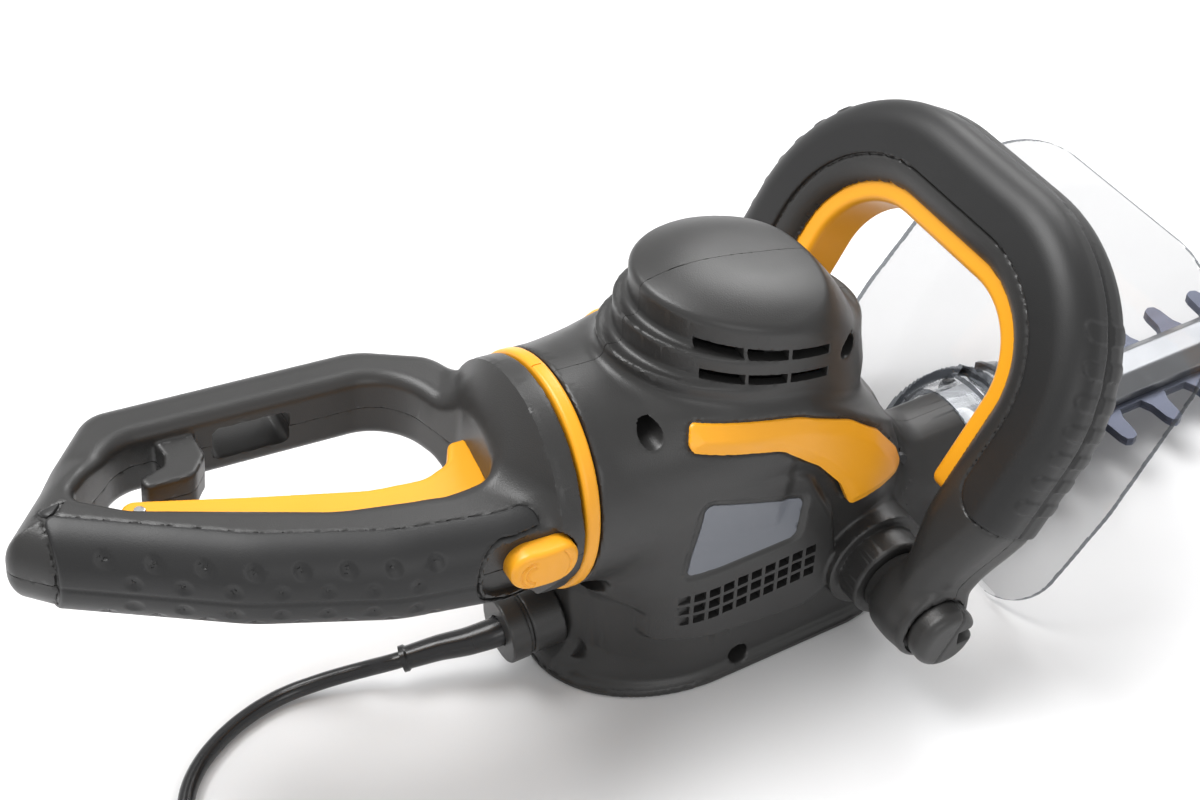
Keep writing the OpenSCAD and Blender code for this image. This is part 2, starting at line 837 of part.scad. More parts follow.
// Outlines in the plane of the loop: along the swivel axis, then to the left
rear_pts = [[-4, -43, 2], [-4, 43, 2], [-12, 60, 18], [-38, 73.5, 30], [-140, 73.5, 14], [-185, 20, 6],
    [-172, 8, 20], [-116, -24, 80], [-70, -41, 60], [-30, -47, 30]];
hole_pts = [[-24, -16, 8], [-20, 20, 10], [-31, 53.5, 22], [-134, 53.5, 18], [-159, 30, 5],
    [-142, 17, 20], [-80, -9, 60], [-44, -16, 20]];
grip_zone = [[-20, -70], [-20, 2], [-60, 4], [-150, 36], [-158, 52], [-220, 52], [-220, -70]];
trigger_pts = [[-143, 15, 3], [-42, -26, 6], [-28, -22, 6], [-19.5, 0, 8], [-18.5, 21, 2], [-22.5, 21, 2],
    [-29, 8, 8], [-42, 2.5, 14], [-62, 4.5, 40], [-100, 16.5, 60], [-143, 31, 5]];
pivot_s = -137;
pivot_y = 23;

module rear_outline(d) {
    difference() {
        polygon(rounded(inset(rear_pts, d)));
        polygon(rounded(inset(hole_pts, -d)));
    }
}

module flat(z0, z1) {
    translate([0, 0, z0]) linear_extrude(height = z1 - z0) children();
}

module rear_form(d) {
    flat(d - bar_half, bar_half - d) rear_outline(d);
    flat(d - grip_half, grip_half - d) intersection() {
        rear_outline(d);
        polygon(grip_zone);
    }
    difference() {
        union() {
            rod_x(43 - d, -12, -3);
            translate([-12, 0, 0]) rotate([0, -90, 0]) cylinder(h = 34, r1 = 43 - d, r2 = 26 - d);
        }
        flat(-60, 60) polygon(rounded(inset(hole_pts, -d)));
        flat(-60, 60) difference() {
            square(far, center = true);
            polygon(rounded(inset(rear_pts, d)));
        }
    }
}

module swivel_hub() {
    rod_x(36, -4, 14.6);
    rod_x(39.8, 10.4, 14.6);
}

// The window in the hand bar that a loop of the extension cord is pushed through
module cord_window() {
    box(-100, -71, 40, 90, -7, 7);
}

// The hook that holds the loop of the extension cord
module cord_hook() {
    flat(-8, 8) polygon(rounded([[-107, 55, 1], [-122, 55, 1], [-120, 47, 7], [-122, 42, 3], [-132, 38, 2],
        [-131, 33, 3], [-114, 33, 7], [-107, 42, 4]]));
}

lock_pts = [[-33, -7.5, 8], [-7, -7.5, 8], [-7, 10, 8], [-33, 10, 8]];

module rear_shell(side) {
    color(plastic) swivel_frame() difference() {
        union() {
            difference() {
                union() {
                    rear_form(0);
                    swivel_hub();
                    cord_hook();
                }
                rear_form(3);
                rod_x(31, -12, 20);
            }
            difference() {
                box(-46, -4, -50, -38, -11, 13);
                flat(-30, 30) difference() {
                    square(far, center = true);
                    polygon(rounded(rear_pts));
                }
            }
            difference() {
                translate([pivot_s, pivot_y, -grip_half + 1]) cylinder(h = 2 * grip_half - 2, r = 4.5);
                flat(-8.5, 8.5) polygon(rounded(inset(trigger_pts, -1)));
            }
            for (p = rear_screw_spots) translate([p[0], p[1], 0]) rod_z(4, 2 - p[2], p[2] - 2);
            difference() {
                box(-103, -68, 52, 74, -10, 10);
                flat(-30, 30) difference() {
                    square(far, center = true);
                    polygon(rounded(rear_pts));
                }
            }
        }
        cord_window();
        flat(-8.4, 8.4) polygon(trigger_space);
        translate([0, -39.6, 0]) slab_lock(-12, 0.5, 6.5);
        translate([0, -42, 2]) rod_x(2.9, -16, 0);
        box(-22.5, -13.5, -41, -30, 0.2, 3.8);
        translate([pivot_s, pivot_y, 0]) rod_z(2.03, -grip_half, grip_half + 1);
        for (p = rear_screw_spots) translate([p[0], p[1], 0]) {
            rod_z(1.6, -40, 40);
            rod_z(3.4, -40, 3 - p[2]);
        }
        flat(side < 0 ? -seam : -far, side < 0 ? far : seam) square(3 * far, center = true);
    }
}

// The room that the trigger swings in
trigger_space = [[-147, 8], [-46, -37], [-24, -36], [-15.5, -2], [-15, 25], [-23, 25], [-60, 10],
    [-147, 37]];

// Screws of the rear handle, as [s, y, half thickness there]
rear_screw_spots = [[-60, 63.5, 14], [-128, 63.5, 14], [-166, 17, 18], [-58, -33, 18]];

// The lock button's outline, drawn in the plane of its face and standing out from y0 to 0
module slab_lock(y0, grow, travel) {
    long_pts = [for (p = lock_pts) [p[0] - (p[0] < -20 ? travel : 0), p[1], p[2]]];
    slab_y(y0, 0) polygon(rounded(inset(long_pts, -grow)));
}

module rear_shell_upper() { rear_shell(1); }

module rear_shell_lower() { rear_shell(-1); }

module rear_grip() {
    color(rubber) swivel_frame() intersection() {
        flat(-15, 15) difference() {
            polygon(rounded(inset(rear_pts, -1.5)));
            polygon(rounded(inset(rear_pts, -0.05)));
        }
        box(-172, -44, -80, 5, -20, 20);
    }
}

module rear_handle_screws() {
    color(steel) swivel_frame() for (p = rear_screw_spots) translate([p[0], p[1], 0]) {
        rod_z(1.58, 1 - p[2], p[2] - 4);
        rod_z(3.2, 1 - p[2], 2.9 - p[2]);
    }
}

module main_switch() {
    color(black) swivel_frame() {
        box(-89, -67, -29, -22.3, -8, 8);
        box(-80, -74, -23, -12.3, -3, 3);
    }
}

module trigger_pin() {
    color(steel) swivel_frame() translate([pivot_s, pivot_y, 0]) rod_z(2, 1.5 - grip_half, grip_half - 1.5);
}

module trigger() {
    color(amber) swivel_frame() difference() {
        flat(-8, 8) polygon(rounded(trigger_pts));
        translate([pivot_s, pivot_y, 0]) rod_z(2.05, -10, 10);
        difference() {
            flat(-6, 6) polygon([[-130, 6], [-44, -30], [-36, -12], [-60, -6], [-126, 16]]);
            box(-79, -75, -8, 10, -7, 7);
        }
    }
}

module lock_button() {
    color(amber) swivel_frame() {
        translate([0, -40, 0]) slab_lock(-11.4, 0, 0);
        translate([0, -42, 2]) rod_x(2.5, -8, -2.9);
        box(-15.6, -14, -40.5, -31, 0.6, 3.4);
    }
}

// ---------------------------------------------------------------- cord and spring

// Rings of a tube along a path, and the solid between them
function ring(p, t, r, n) =
    let (side = unit(cross(t, [0, 0, 1])), up = cross(side, t))
    [for (k = [0:n - 1]) p + r * (cos(360 * k / n) * side + sin(360 * k / n) * up)];

function tangent(path, i) = unit(path[min(i + 1, len(path) - 1)] - path[max(i - 1, 0)]);

module tube(path, radii, n = 10) {
    last = len(path) - 1;
    polyhedron(
        points = [for (i = [0:last]) each ring(path[i], tangent(path, i), radii[i], n)],
        faces = concat(
            [[for (k = [0:n - 1]) k]],
            [[for (k = [n - 1:-1:0]) last * n + k]],
            [for (i = [0:last - 1], k = [0:n - 1], tri = [
                [i * n + k, (i + 1) * n + k, (i + 1) * n + (k + 1) % n],
                [i * n + k, (i + 1) * n + (k + 1) % n, i * n + (k + 1) % n]
            ]) tri]));
}

module lock_spring() {
    turns = 6;
    steps = 10;
    path = [for (i = [0:turns * steps])
        [-38 + 15.3 * i / (turns * steps), -34 + 2.4 * cos(360 * i / steps), 2 + 2.4 * sin(360 * i / steps)]];
    color(steel) swivel_frame() tube(path, [for (p = path) 0.45], 5);
}

gland_z = 25;
relief_route = [[-96, 0, 25], [-105, 0.5, 24], [-115, 3.5, 21.5], [-125, 8, 19], [-139, 12, 16]];
relief_radii = [6.2, 6, 5.4, 4.8, 4.3];
cord_route = [[-139, 12, 16], [-141.8, 12.8, 15.4], [-150.7, 18, 11], [-161.3, 22.2, 8], [-171.2, 25.3, 5.5],
    [-180.9, 27, 3.9], [-190.7, 26.4, 3.4], [-200.3, 24, 3.4], [-208, 21, 3.4], [-214.9, 17.3, 3.4],
    [-220.8, 13.2, 3.4], [-226, 8.4, 3.4], [-229.9, 3.6, 3.4], [-233, -1.6, 3.4],
    [-236.6, -10, 3.4], [-239, -22, 3.4], [-239.5, -38, 3.4], [-236.5, -60, 3.4], [-229, -81, 3.4],
    [-219, -102, 3.4], [-208, -122, 4.6], [-198, -141, 8.6], [-190, -156, 11.4]];
plug_turn = -62;

module strain_relief() { color(black) tube(relief_route, relief_radii, 16); }

module cord() { color(black) tube(cord_route, [for (p = cord_route) cord_d / 2]); }

module cord_gland() {
    color(plastic) translate([0, 0, gland_z]) difference() {
        union() {
            rod_x(9.2, -82, -66);
            rod_x(12.6, -91, -80.1);
            rod_x(13.4, -97, -91);
        }
        rod_x(6.3, -100, -60);
    }
}

module cord_clamp() {
    color(plastic) difference() {
        box(-60, -50, -12, 12, wall + 0.1, 22);
        translate([0, 0, 14]) rod_x(3.4, -70, -40);
    }
}

module capacitor() {
    color([0.2, 0.3, 0.6]) box(-44, -22, -34, -22, 6, 24);
}

module plug() {
    color(black) translate([-190, -156, 11.4]) rotate([0, 0, plug_turn]) {
        translate([0.5, 0, 0]) rotate([0, 90, 0]) cylinder(h = 22, r1 = 5, r2 = 9);
        intersection() {
            rod_x(18, 20, 52);
            box(0, 60, -18, 18, -11, 11);
        }
        both_sides() translate([0, 9.5, 0]) rod_x(2.2, 50, 71);
    }
}

housing_right();
housing_left();
flash_right();
flash_left();
badge_right();
badge_left();
housing_screws();
swivel_ring();
stator();
field_coils();
motor_bracket();
brush_holders();
carbon_brushes();
upper_bearing();
lower_bearing();
gear_case();
gear_case_plate();
gear_case_screws();
gear_bush();
guide_bar();
blade_screws();
tip_guard();
guard();
guard_screws();
handle_shell_rear();
handle_shell_front();
handle_grip();
handle_bolts();
handle_knobs();
handle_switch();
capacitor();
cord_gland();
cord_clamp();
strain_relief();
cord();
plug();
armature_shaft();
armature_core();
commutator();
fan();
reduction_gear();
upper_blade();
lower_blade();
rear_shell_upper();
rear_shell_lower();
rear_grip();
rear_handle_screws();
main_switch();
trigger_pin();
trigger();
lock_button();
lock_spring();
switch_bar();
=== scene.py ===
import math

import bpy
import numpy as np
from mathutils import Matrix, Vector


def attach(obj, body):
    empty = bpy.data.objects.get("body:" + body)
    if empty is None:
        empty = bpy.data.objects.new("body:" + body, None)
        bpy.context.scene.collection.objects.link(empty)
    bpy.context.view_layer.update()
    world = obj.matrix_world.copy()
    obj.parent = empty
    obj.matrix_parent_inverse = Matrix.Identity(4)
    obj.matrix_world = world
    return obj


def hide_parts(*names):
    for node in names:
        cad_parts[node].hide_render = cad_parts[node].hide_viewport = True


# Looks of a mains hedge trimmer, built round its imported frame. Forms are signed distance fields
# in millimetres, negative inside, turned into meshes; objects are in metres.
MM = 0.001

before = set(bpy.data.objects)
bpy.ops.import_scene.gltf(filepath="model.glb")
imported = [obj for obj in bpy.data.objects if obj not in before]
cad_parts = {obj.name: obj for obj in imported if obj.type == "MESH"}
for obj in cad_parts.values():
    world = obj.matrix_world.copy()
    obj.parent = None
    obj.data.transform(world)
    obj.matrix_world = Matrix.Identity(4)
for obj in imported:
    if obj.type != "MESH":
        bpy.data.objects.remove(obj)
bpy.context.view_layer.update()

# ---------------------------------------------------------------- camera, first of all

LENS = 58.98
SENSOR = 36.0
CAMERA_PLACE = (-0.3111, -0.4475, 0.6043)
CAMERA_RIGHT = Vector((0.87419625, -0.48553266, 0.00624167))
CAMERA_UP = Vector((0.32683766, 0.59787681, 0.73192927))


def make_camera():
    """A long lens above and behind the right side of the machine."""
    data = bpy.data.cameras.new("camera")
    data.lens = LENS
    data.sensor_width = SENSOR
    data.clip_end = 50
    camera = bpy.data.objects.new("camera", data)
    back = CAMERA_RIGHT.cross(CAMERA_UP)
    turn = Matrix((CAMERA_RIGHT, CAMERA_UP, back)).transposed().to_4x4()
    camera.matrix_world = Matrix.Translation(CAMERA_PLACE) @ turn
    bpy.context.scene.collection.objects.link(camera)
    bpy.context.scene.camera = camera


make_camera()

# ---------------------------------------------------------------- meshes from distance fields

BLOCK = 8
CHUNK = 400_000
SHARP = math.radians(38)
FAR = 1e3


def in_chunks(field, points):
    """The field's value at each point, worked out a part at a time."""
    parts = [field(points[i:i + CHUNK]) for i in range(0, len(points), CHUNK)]
    return np.concatenate(parts) if parts else np.zeros(0)


def sample(field, low, cell, count):
    """Values on the grid's nodes near the surface, and a mask of the nodes that have one."""
    blocks = count // BLOCK
    index = np.stack(np.meshgrid(*[np.arange(b) for b in blocks], indexing="ij"), -1).reshape(-1, 3)
    centres = low + (index + 0.5) * BLOCK * cell
    reach = 0.5 * math.sqrt(3) * BLOCK * cell * 1.35
    near = (np.abs(in_chunks(field, centres)) < reach).reshape(blocks)
    cells = near.repeat(BLOCK, 0).repeat(BLOCK, 1).repeat(BLOCK, 2)
    known = np.zeros(count + 1, bool)
    for corner in np.ndindex(2, 2, 2):
        known[tuple(slice(c, c + n) for c, n in zip(corner, count))] |= cells
    values = np.full(count + 1, FAR, np.float32)
    nodes = np.argwhere(known)
    values[known] = in_chunks(field, low + nodes * cell)
    return values, known


def gradient(field, points, step=0.03):
    """The field's unit normal at each point, from four samples round it."""
    total = np.zeros_like(points)
    for k in np.array(((1, -1, -1), (-1, -1, 1), (-1, 1, -1), (1, 1, 1)), float):
        total += in_chunks(field, points + step * k)[:, None] * k
    return total / np.maximum(np.linalg.norm(total, axis=1, keepdims=True), 1e-9)


def contour(field, low, high, cell):
    """Vertices and quads of the field's zero surface, with its edges kept sharp."""
    low = np.array(low, float)
    count = np.ceil((np.array(high, float) - low) / cell / BLOCK).astype(int) * BLOCK
    values, known = sample(field, low, cell, count)
    points, normals, owners, quads_out = [], [], [], []
    for axis in range(3):
        lower = [slice(None)] * 3
        upper = [slice(None)] * 3
        lower[axis], upper[axis] = slice(0, -1), slice(1, None)
        a, b = values[tuple(lower)], values[tuple(upper)]
        crossing = ((a < 0) != (b < 0)) & known[tuple(lower)] & known[tuple(upper)]
        edges = np.argwhere(crossing)
        side_1, side_2 = (axis + 1) % 3, (axis + 2) % 3
        inner = ((edges[:, side_1] > 0) & (edges[:, side_1] < count[side_1])
                 & (edges[:, side_2] > 0) & (edges[:, side_2] < count[side_2]))
        edges = edges[inner]
        a, b = a[tuple(edges.T)].astype(float), b[tuple(edges.T)].astype(float)
        along = np.zeros(3)
        along[axis] = cell
        start = low + edges * cell
        t = a / (a - b)
        middle = in_chunks(field, start + t[:, None] * along)
        early = (middle < 0) != (a < 0)
        better = np.where(early, t * a / np.where(early, a - middle, 1),
                          t + (1 - t) * middle / np.where(early, 1, middle - b))
        spot = start + np.clip(better, 0, 1)[:, None] * along
        points.append(spot)
        normals.append(gradient(field, spot))
        ring = []
        for step_1, step_2 in ((0, 0), (1, 0), (1, 1), (0, 1)):
            cell_index = edges.copy()
            cell_index[:, side_1] -= step_1
            cell_index[:, side_2] -= step_2
            ring.append(np.ravel_multi_index(cell_index.T, count))
        ring = np.stack(ring, 1)
        owners.append(ring)
        quads_out.append(np.where((a < 0)[:, None], ring, ring[:, ::-1]))
    points, normals = np.concatenate(points), np.concatenate(normals)
    cells, slot = np.unique(np.concatenate(owners), return_inverse=True)
    slot = slot.reshape(-1)
    total = len(cells)
    p, n = points.repeat(4, 0), normals.repeat(4, 0)
    tally = np.bincount(slot, minlength=total)[:, None]
    mass = np.stack([np.bincount(slot, p[:, i], total) for i in range(3)], 1) / tally
    offset = ((p - mass[slot]) * n).sum(1)
    matrix = np.zeros((total, 3, 3))
    vector = np.zeros((total, 3))
    for i in range(3):
        vector[:, i] = np.bincount(slot, n[:, i] * offset, total)
        for j in range(3):
            matrix[:, i, j] = np.bincount(slot, n[:, i] * n[:, j], total)
    matrix += 0.06 * np.eye(3)
    place = mass + np.linalg.solve(matrix, vector[:, :, None])[:, :, 0]
    corner = low + np.stack(np.unravel_index(cells, count), 1) * cell
    place = np.clip(place, corner, corner + cell)
    quads = np.searchsorted(cells, np.concatenate(quads_out))
    return place, quads


def new_object(name, points, faces):
    """A mesh object from points in millimetres, smooth but for its sharp edges."""
    mesh = bpy.data.meshes.new(name)
    mesh.from_pydata([], [], [])
    mesh.vertices.add(len(points))
    mesh.vertices.foreach_set("co", (np.asarray(points) * MM).astype(np.float32).ravel())
    faces = np.asarray(faces)
    sides = faces.shape[1]
    mesh.loops.add(faces.size)
    mesh.loops.foreach_set("vertex_index", faces.astype(np.int32).ravel())
    mesh.polygons.add(len(faces))
    mesh.polygons.foreach_set("loop_start", np.arange(0, faces.size, sides, dtype=np.int32))
    mesh.update(calc_edges=True)
    mesh.validate()
    mesh.polygons.foreach_set("use_smooth", np.ones(len(mesh.polygons), bool))
    mesh.set_sharp_from_angle(angle=SHARP)
    obj = bpy.data.objects.new(name, mesh)
    bpy.context.scene.collection.objects.link(obj)
    return obj


def form(name, field, low, high, cell, material, body, replaced=(), slot=None, keep=1.0):
    """A piece of the object: its field's mesh, thinned to the share kept, and its material and body."""
    points, quads = contour(field, low, high, cell * (1))
    obj = new_object(name, points, quads)
    if keep < 1:
        thin = obj.modifiers.new("thin", "DECIMATE")
        thin.ratio = keep
        settle(obj)
        obj.data.set_sharp_from_angle(angle=SHARP)
    return place(obj, material, body, replaced, slot)


def settle(obj):
    """Turns an object's modifiers into its mesh."""
    graph = bpy.context.evaluated_depsgraph_get()
    mesh = bpy.data.meshes.new_from_object(obj.evaluated_get(graph))
    obj.modifiers.clear()
    obj.data = mesh


def place(obj, material, body, replaced=(), slot=None):
    """Gives an object its material and the body it rides on, and hides the nodes it stands for; its slot is
    not used.
    """
    obj.data.materials.clear()
    obj.data.materials.append(material)
    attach(obj, body)
    if replaced:
        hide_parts(*replaced)
    return obj


# ---------------------------------------------------------------- fields


def split(p):
    return p[:, 0], p[:, 1], p[:, 2]


def both(a, b, r=0.0):
    """What is inside both fields, with the edge between them rounded to r."""
    if np.isscalar(r) and r == 0:
        return np.maximum(a, b)
    return np.minimum(-r, np.maximum(a, b)) + np.hypot(np.maximum(a + r, 0), np.maximum(b + r, 0))


def either(a, b, r=0.0):
    """What is inside one field or the other, with a fillet of radius r between them."""
    return -both(-a, -b, r)


def cut(a, b, r=0.0):
    """What is inside a and outside b."""
    return both(a, -b, r)


def ease(t):
    """0 below 0, 1 above 1, and a smooth step between."""
    t = np.clip(t, 0, 1)
    return t * t * (3 - 2 * t)


def leaning(p, x0, z0, degrees):
    """Coordinates in a frame turned about Y: forward, to the left, up."""
    x, y, z = split(p)
    c, s = math.cos(math.radians(degrees)), math.sin(math.radians(degrees))
    return (x - x0) * c - (z - z0) * s, y, (x - x0) * s + (z - z0) * c


def rod(u, v, w, r, low, high, edge=0.0):
    """A cylinder of radius r along w."""
    return both(np.hypot(u, v) - r, np.maximum(low - w, w - high), edge)


def brick(u, v, w, half, edge=0.0):
    """A block round the origin; u, v and w are its own coordinates."""
    inner = [np.abs(c) - h + edge for c, h in zip((u, v, w), half)]
    outside = np.sqrt(sum(np.maximum(c, 0) ** 2 for c in inner))
    return outside + np.minimum(np.maximum(np.maximum(inner[0], inner[1]), inner[2]), 0) - edge


class Outline:
    """A closed flat outline of lines and arcs; points are (u, v, corner radius), anticlockwise."""

    def __init__(self, *points):
        self.arcs, self.lines, ends = [], [], []
        count = len(points)
        for i, (u, v, r) in enumerate(points):
            b = np.array((u, v), float)
            to_a = np.array(points[i - 1][:2], float) - b
            to_c = np.array(points[(i + 1) % count][:2], float) - b
            a = to_a / np.linalg.norm(to_a)
            c = to_c / np.linalg.norm(to_c)
            half = math.acos(max(-1.0, min(1.0, float(a @ c)))) / 2
            convex = a[1] * c[0] - a[0] * c[1] > 0
            centre = b + (a + c) / np.linalg.norm(a + c) * r / math.sin(half)
            reach = r / math.tan(half)
            self.arcs.append((centre, r, b - centre, math.sin(half), 1 if convex else -1))
            ends.append((b + a * reach, b + c * reach))
        for i in range(count):
            p, q = ends[i][1], ends[(i + 1) % count][0]
            if np.linalg.norm(q - p) > 1e-6:
                self.lines.append((p, q))

    def __call__(self, u, v):
        best = np.full(u.shape, 1e6)
        for p, q in self.lines:
            d = (q - p) / np.linalg.norm(q - p)
            t = (u - p[0]) * d[0] + (v - p[1]) * d[1]
            side = (u - p[0]) * d[1] - (v - p[1]) * d[0]
            fits = (t > -0.01) & (t < np.linalg.norm(q - p) + 0.01) & (np.abs(side) < np.abs(best))
            best = np.where(fits, side, best)
        for centre, r, middle, sine, sign in self.arcs:
            du, dv = u - centre[0], v - centre[1]
            far = np.hypot(du, dv)
            d = sign * (far - r)
            toward = du * middle[0] + dv * middle[1]
            fits = (toward > far * np.linalg.norm(middle) * (sine - 1e-3)) & (np.abs(d) < np.abs(best))
            best = np.where(fits, d, best)
        return best


def local(p, value, low, high, change):
    """Applies change to the field's values only where the point lies in a box, to save time."""
    near = np.all((p >= low) & (p <= high), axis=1)
    if near.any():
        value = value.copy()
        value[near] = change(p[near], value[near])
    return value


# ---------------------------------------------------------------- housing

BODY_HALF = 45.0
SKIN_TO_INSIDE = 5.2
SWIVEL = (-87.0, 105.0, 7.0)
RING_R = 44.4
DOME_TILT = 14.6
DOME_X, DOME_A, DOME_B = 2.5, 46.5, 36.5
DOME_REAR, DOME_RIM = -43.5, 173.5
CROWN = 8.3
DOME_STEPS = ((3.2, -12.8), (6.8, -24.2))
VENT_ROWS = (-10.4, -20.6)
VENT_SPANS = ((-35, -20.6), (-19.2, -4.6), (-3.2, 13))
GRID_X, GRID_Z, GRID_SLOPE = -46.6, 43.2, 0.03
GRID_WIDE, GRID_HIGH, BLIND_COLUMNS, BLIND_DEPTH = 6.05, 6.0, 2, 41.4
HUB = (37.8, 37.0)
HUB_STEPS = ((21.5, 48.5), (17.5, 59.4))
NECK_Z, NECK_R, NECK_END = 21.0, 29.0, 107.0
GLAND_Z = 25.0
SCREWS = ((-57, 135), (24, 141), (-76, 64), (-78, 15), (-20, 8), (68, 56))

side_outline = Outline((-110, -60, 5), (104, -60, 20), (104, 44, 10), (84, 60, 10), (66, 68, 16),
                       (52, 97, 24), (36, 120, 20), (36, 190, 5), (-110, 190, 5))
panel_outline = Outline((-60, 32, 5), (10, 23, 12), (22, 34, 10), (17, 70, 20), (3, 99, 16),
                        (-60, 116, 10), (-88, 120, 5), (-96, 84, 8), (-84, 62, 20), (-60, 47, 4))
flash_outline = Outline((-42.5, 135.5, 2.5), (-46, 127.8, 2.5), (-9.5, 115.8, 16), (7, 101, 14),
                        (18, 86.5, 14), (23.4, 73, 3), (51, 75.5, 4), (46.5, 87.5, 10),
                        (35.5, 102.5, 14), (22, 114, 20), (0, 125, 40))
badge_outline = Outline((-46, 67, 2), (0, 67, 3), (2, 86, 4), (-41, 104, 3))


def curve(x, spots):
    """A smooth curve through the spots (x, value), level beyond its ends."""
    xs, ys = np.array(spots, float).T
    slopes = np.gradient(ys, xs)
    x = np.clip(x, xs[0], xs[-1])
    i = np.clip(np.searchsorted(xs, x) - 1, 0, len(xs) - 2)
    width = xs[i + 1] - xs[i]
    t = (x - xs[i]) / width
    return (ys[i] * (1 + 2 * t) * (1 - t) ** 2 + ys[i + 1] * t * t * (3 - 2 * t)
            + width * t * (1 - t) * (slopes[i] * (1 - t) - slopes[i + 1] * t))


def oval(u, v, a, b):
    """Distance from an oval with half axes a and b, and the share of the way out to it."""
    k = np.hypot(u / a, v / b)
    slope = np.hypot(u / a ** 2, v / b ** 2) / np.maximum(k, 1e-6)
    return (k - 1) / np.maximum(slope, 1e-6), k


CREASE = ((-90, 149), (-76, 146.8), (-60, 141.8), (-40, 138), (-21, 134.7), (7, 126), (21, 117.5),
          (38, 105), (60, 88))


def body_block(p):
    """The lower body: a boat-shaped plan under a crease that falls towards the gear neck."""
    x, y, z = split(p)
    rear = 59 - 9 * ease((z - 3) / 16) * ease((66 - z) / 22)
    u = np.minimum(x + 30, 0) / rear * BODY_HALF + np.maximum(x - 28, 0)
    plan, _ = oval(u, y, BODY_HALF, BODY_HALF)
    depth = curve(x, CREASE) - z
    lean = (4.5 + 0.17 * np.clip(5 - x, 0, 60)) * np.clip(1 - depth / 24, 0, 1.2) ** 2
    flank = plan + lean
    roof = -(depth + 0.30 * np.clip(-flank, 0, 26)) * 0.92
    block = both(flank, roof, 2.0)
    return both(both(block, side_outline(x, z), 7), -z, 1.5)


def above_rim(x, z):
    """Height over the plane of the dome's rim, which leans with the dome."""
    c, s = math.cos(math.radians(DOME_TILT)), math.sin(math.radians(DOME_TILT))
    return (z - DOME_RIM) * c + (x - DOME_REAR) * s


def dome(p):
    """The motor dome: an oval wall in three steps under a crowned cap that tilts forward."""
    x, y, z = split(p)
    level = above_rim(x, z)
    u = x - DOME_X
    back, k = oval(u, y, DOME_A, DOME_B)
    front = 42.5 - 0.30 * np.clip(z - 121, 0, 40)
    ahead, side = np.maximum(u, 0) / front, np.abs(y) / DOME_B
    blunt = (ahead ** 2.5 + side ** 2.5 + 1e-9) ** 0.4
    fore = (blunt - 1) * (front * DOME_B) / np.sqrt((DOME_B * ahead) ** 2 + (front * side) ** 2 + 1)
    wall = back + (fore - back) * ease(u / 14)
    cap = (level - CROWN * (1 - np.minimum(k, 1.3) ** 3)) * 0.96
    soft = 2.2 + 15 * ease((x + 6) / 46)
    shape = both(wall, cap, soft)
    for grow, top in DOME_STEPS:
        far = oval(u + grow, y, DOME_A + grow, DOME_B + 0.1 * grow)[0]
        shape = either(shape, both(far + 2 * ease((x + 25) / 30), level - top, 1.6), 3.0)
    return shape


def body_skin(p):
    """The closed outer form of the housing, before its details."""
    x, y, z = split(p)
    s, _, t = leaning(p, *SWIVEL)
    barrel = both(np.hypot(y, t) - RING_R + 0.2, np.maximum(4.2 - s, s - 80), 1.2)
    block = both(body_block(p), 4.2 - s, 1.0)
    shape = either(block, barrel, 5)
    shape = either(shape, dome(p), 5)
    neck = both(np.hypot(y, z - NECK_Z) - NECK_R, np.maximum(x - NECK_END, 20 - x), 1.0)
    shape = either(shape, neck, 16)
    return both(shape, -z, 1.2)


def relief(p, value):
    """Skirt round the flank's panel, seats of the trims and the lower lip, as shifts of the surface."""
    x, y, z = split(p)
    flank = ease((np.abs(y) - 10) / 8)
    skirt = flank * ease((z - 2) / 5) * ease((112 - z) / 30)
    value = value + 3.2 * skirt * ease(0.5 + panel_outline(x, z) / 3.5)
    value = value + 1.0 * flank * ease(0.5 - (badge_outline(x, z) - 2.2) / 2.2)
    value = value + 0.8 * flank * ease(0.5 - (flash_outline(x, z) - 0.9) / 0.9)
    return value + 0.7 * ease(1.6 - np.abs(z - 3.4) / 0.6)


def vents(p):
    """Slots of the motor vents, in two rows round the dome's wall."""
    x, y, z = split(p)
    level = above_rim(x, z)
    slots = np.full(x.shape, FAR)
    for row in VENT_ROWS:
        for x0, x1 in VENT_SPANS:
            half = ((x1 - x0) / 2, 16, 2.1)
            slot = brick(x - (x0 + x1) / 2, np.abs(y) - 34, level - row, half, 0.3)
            slots = np.minimum(slots, slot)
    return slots


def grid(p):
    """Square cells of the gear vents, three rows of ten; the first columns are blind."""
    x, y, z = split(p)
    along, height = x - GRID_X, z - GRID_SLOPE * x - GRID_Z
    column = np.clip(np.round(along / GRID_WIDE), 0, 9)
    row = np.clip(np.round(height / GRID_HIGH), 0, 2)
    depth = np.where(column < BLIND_COLUMNS, BLIND_DEPTH, 20)
    u = along - GRID_WIDE * column
    w = height - GRID_HIGH * row
    flat = both(np.abs(u) - 2.25, np.abs(w) - 2.15, 0.3)
    return np.maximum(flat, depth - np.abs(y))


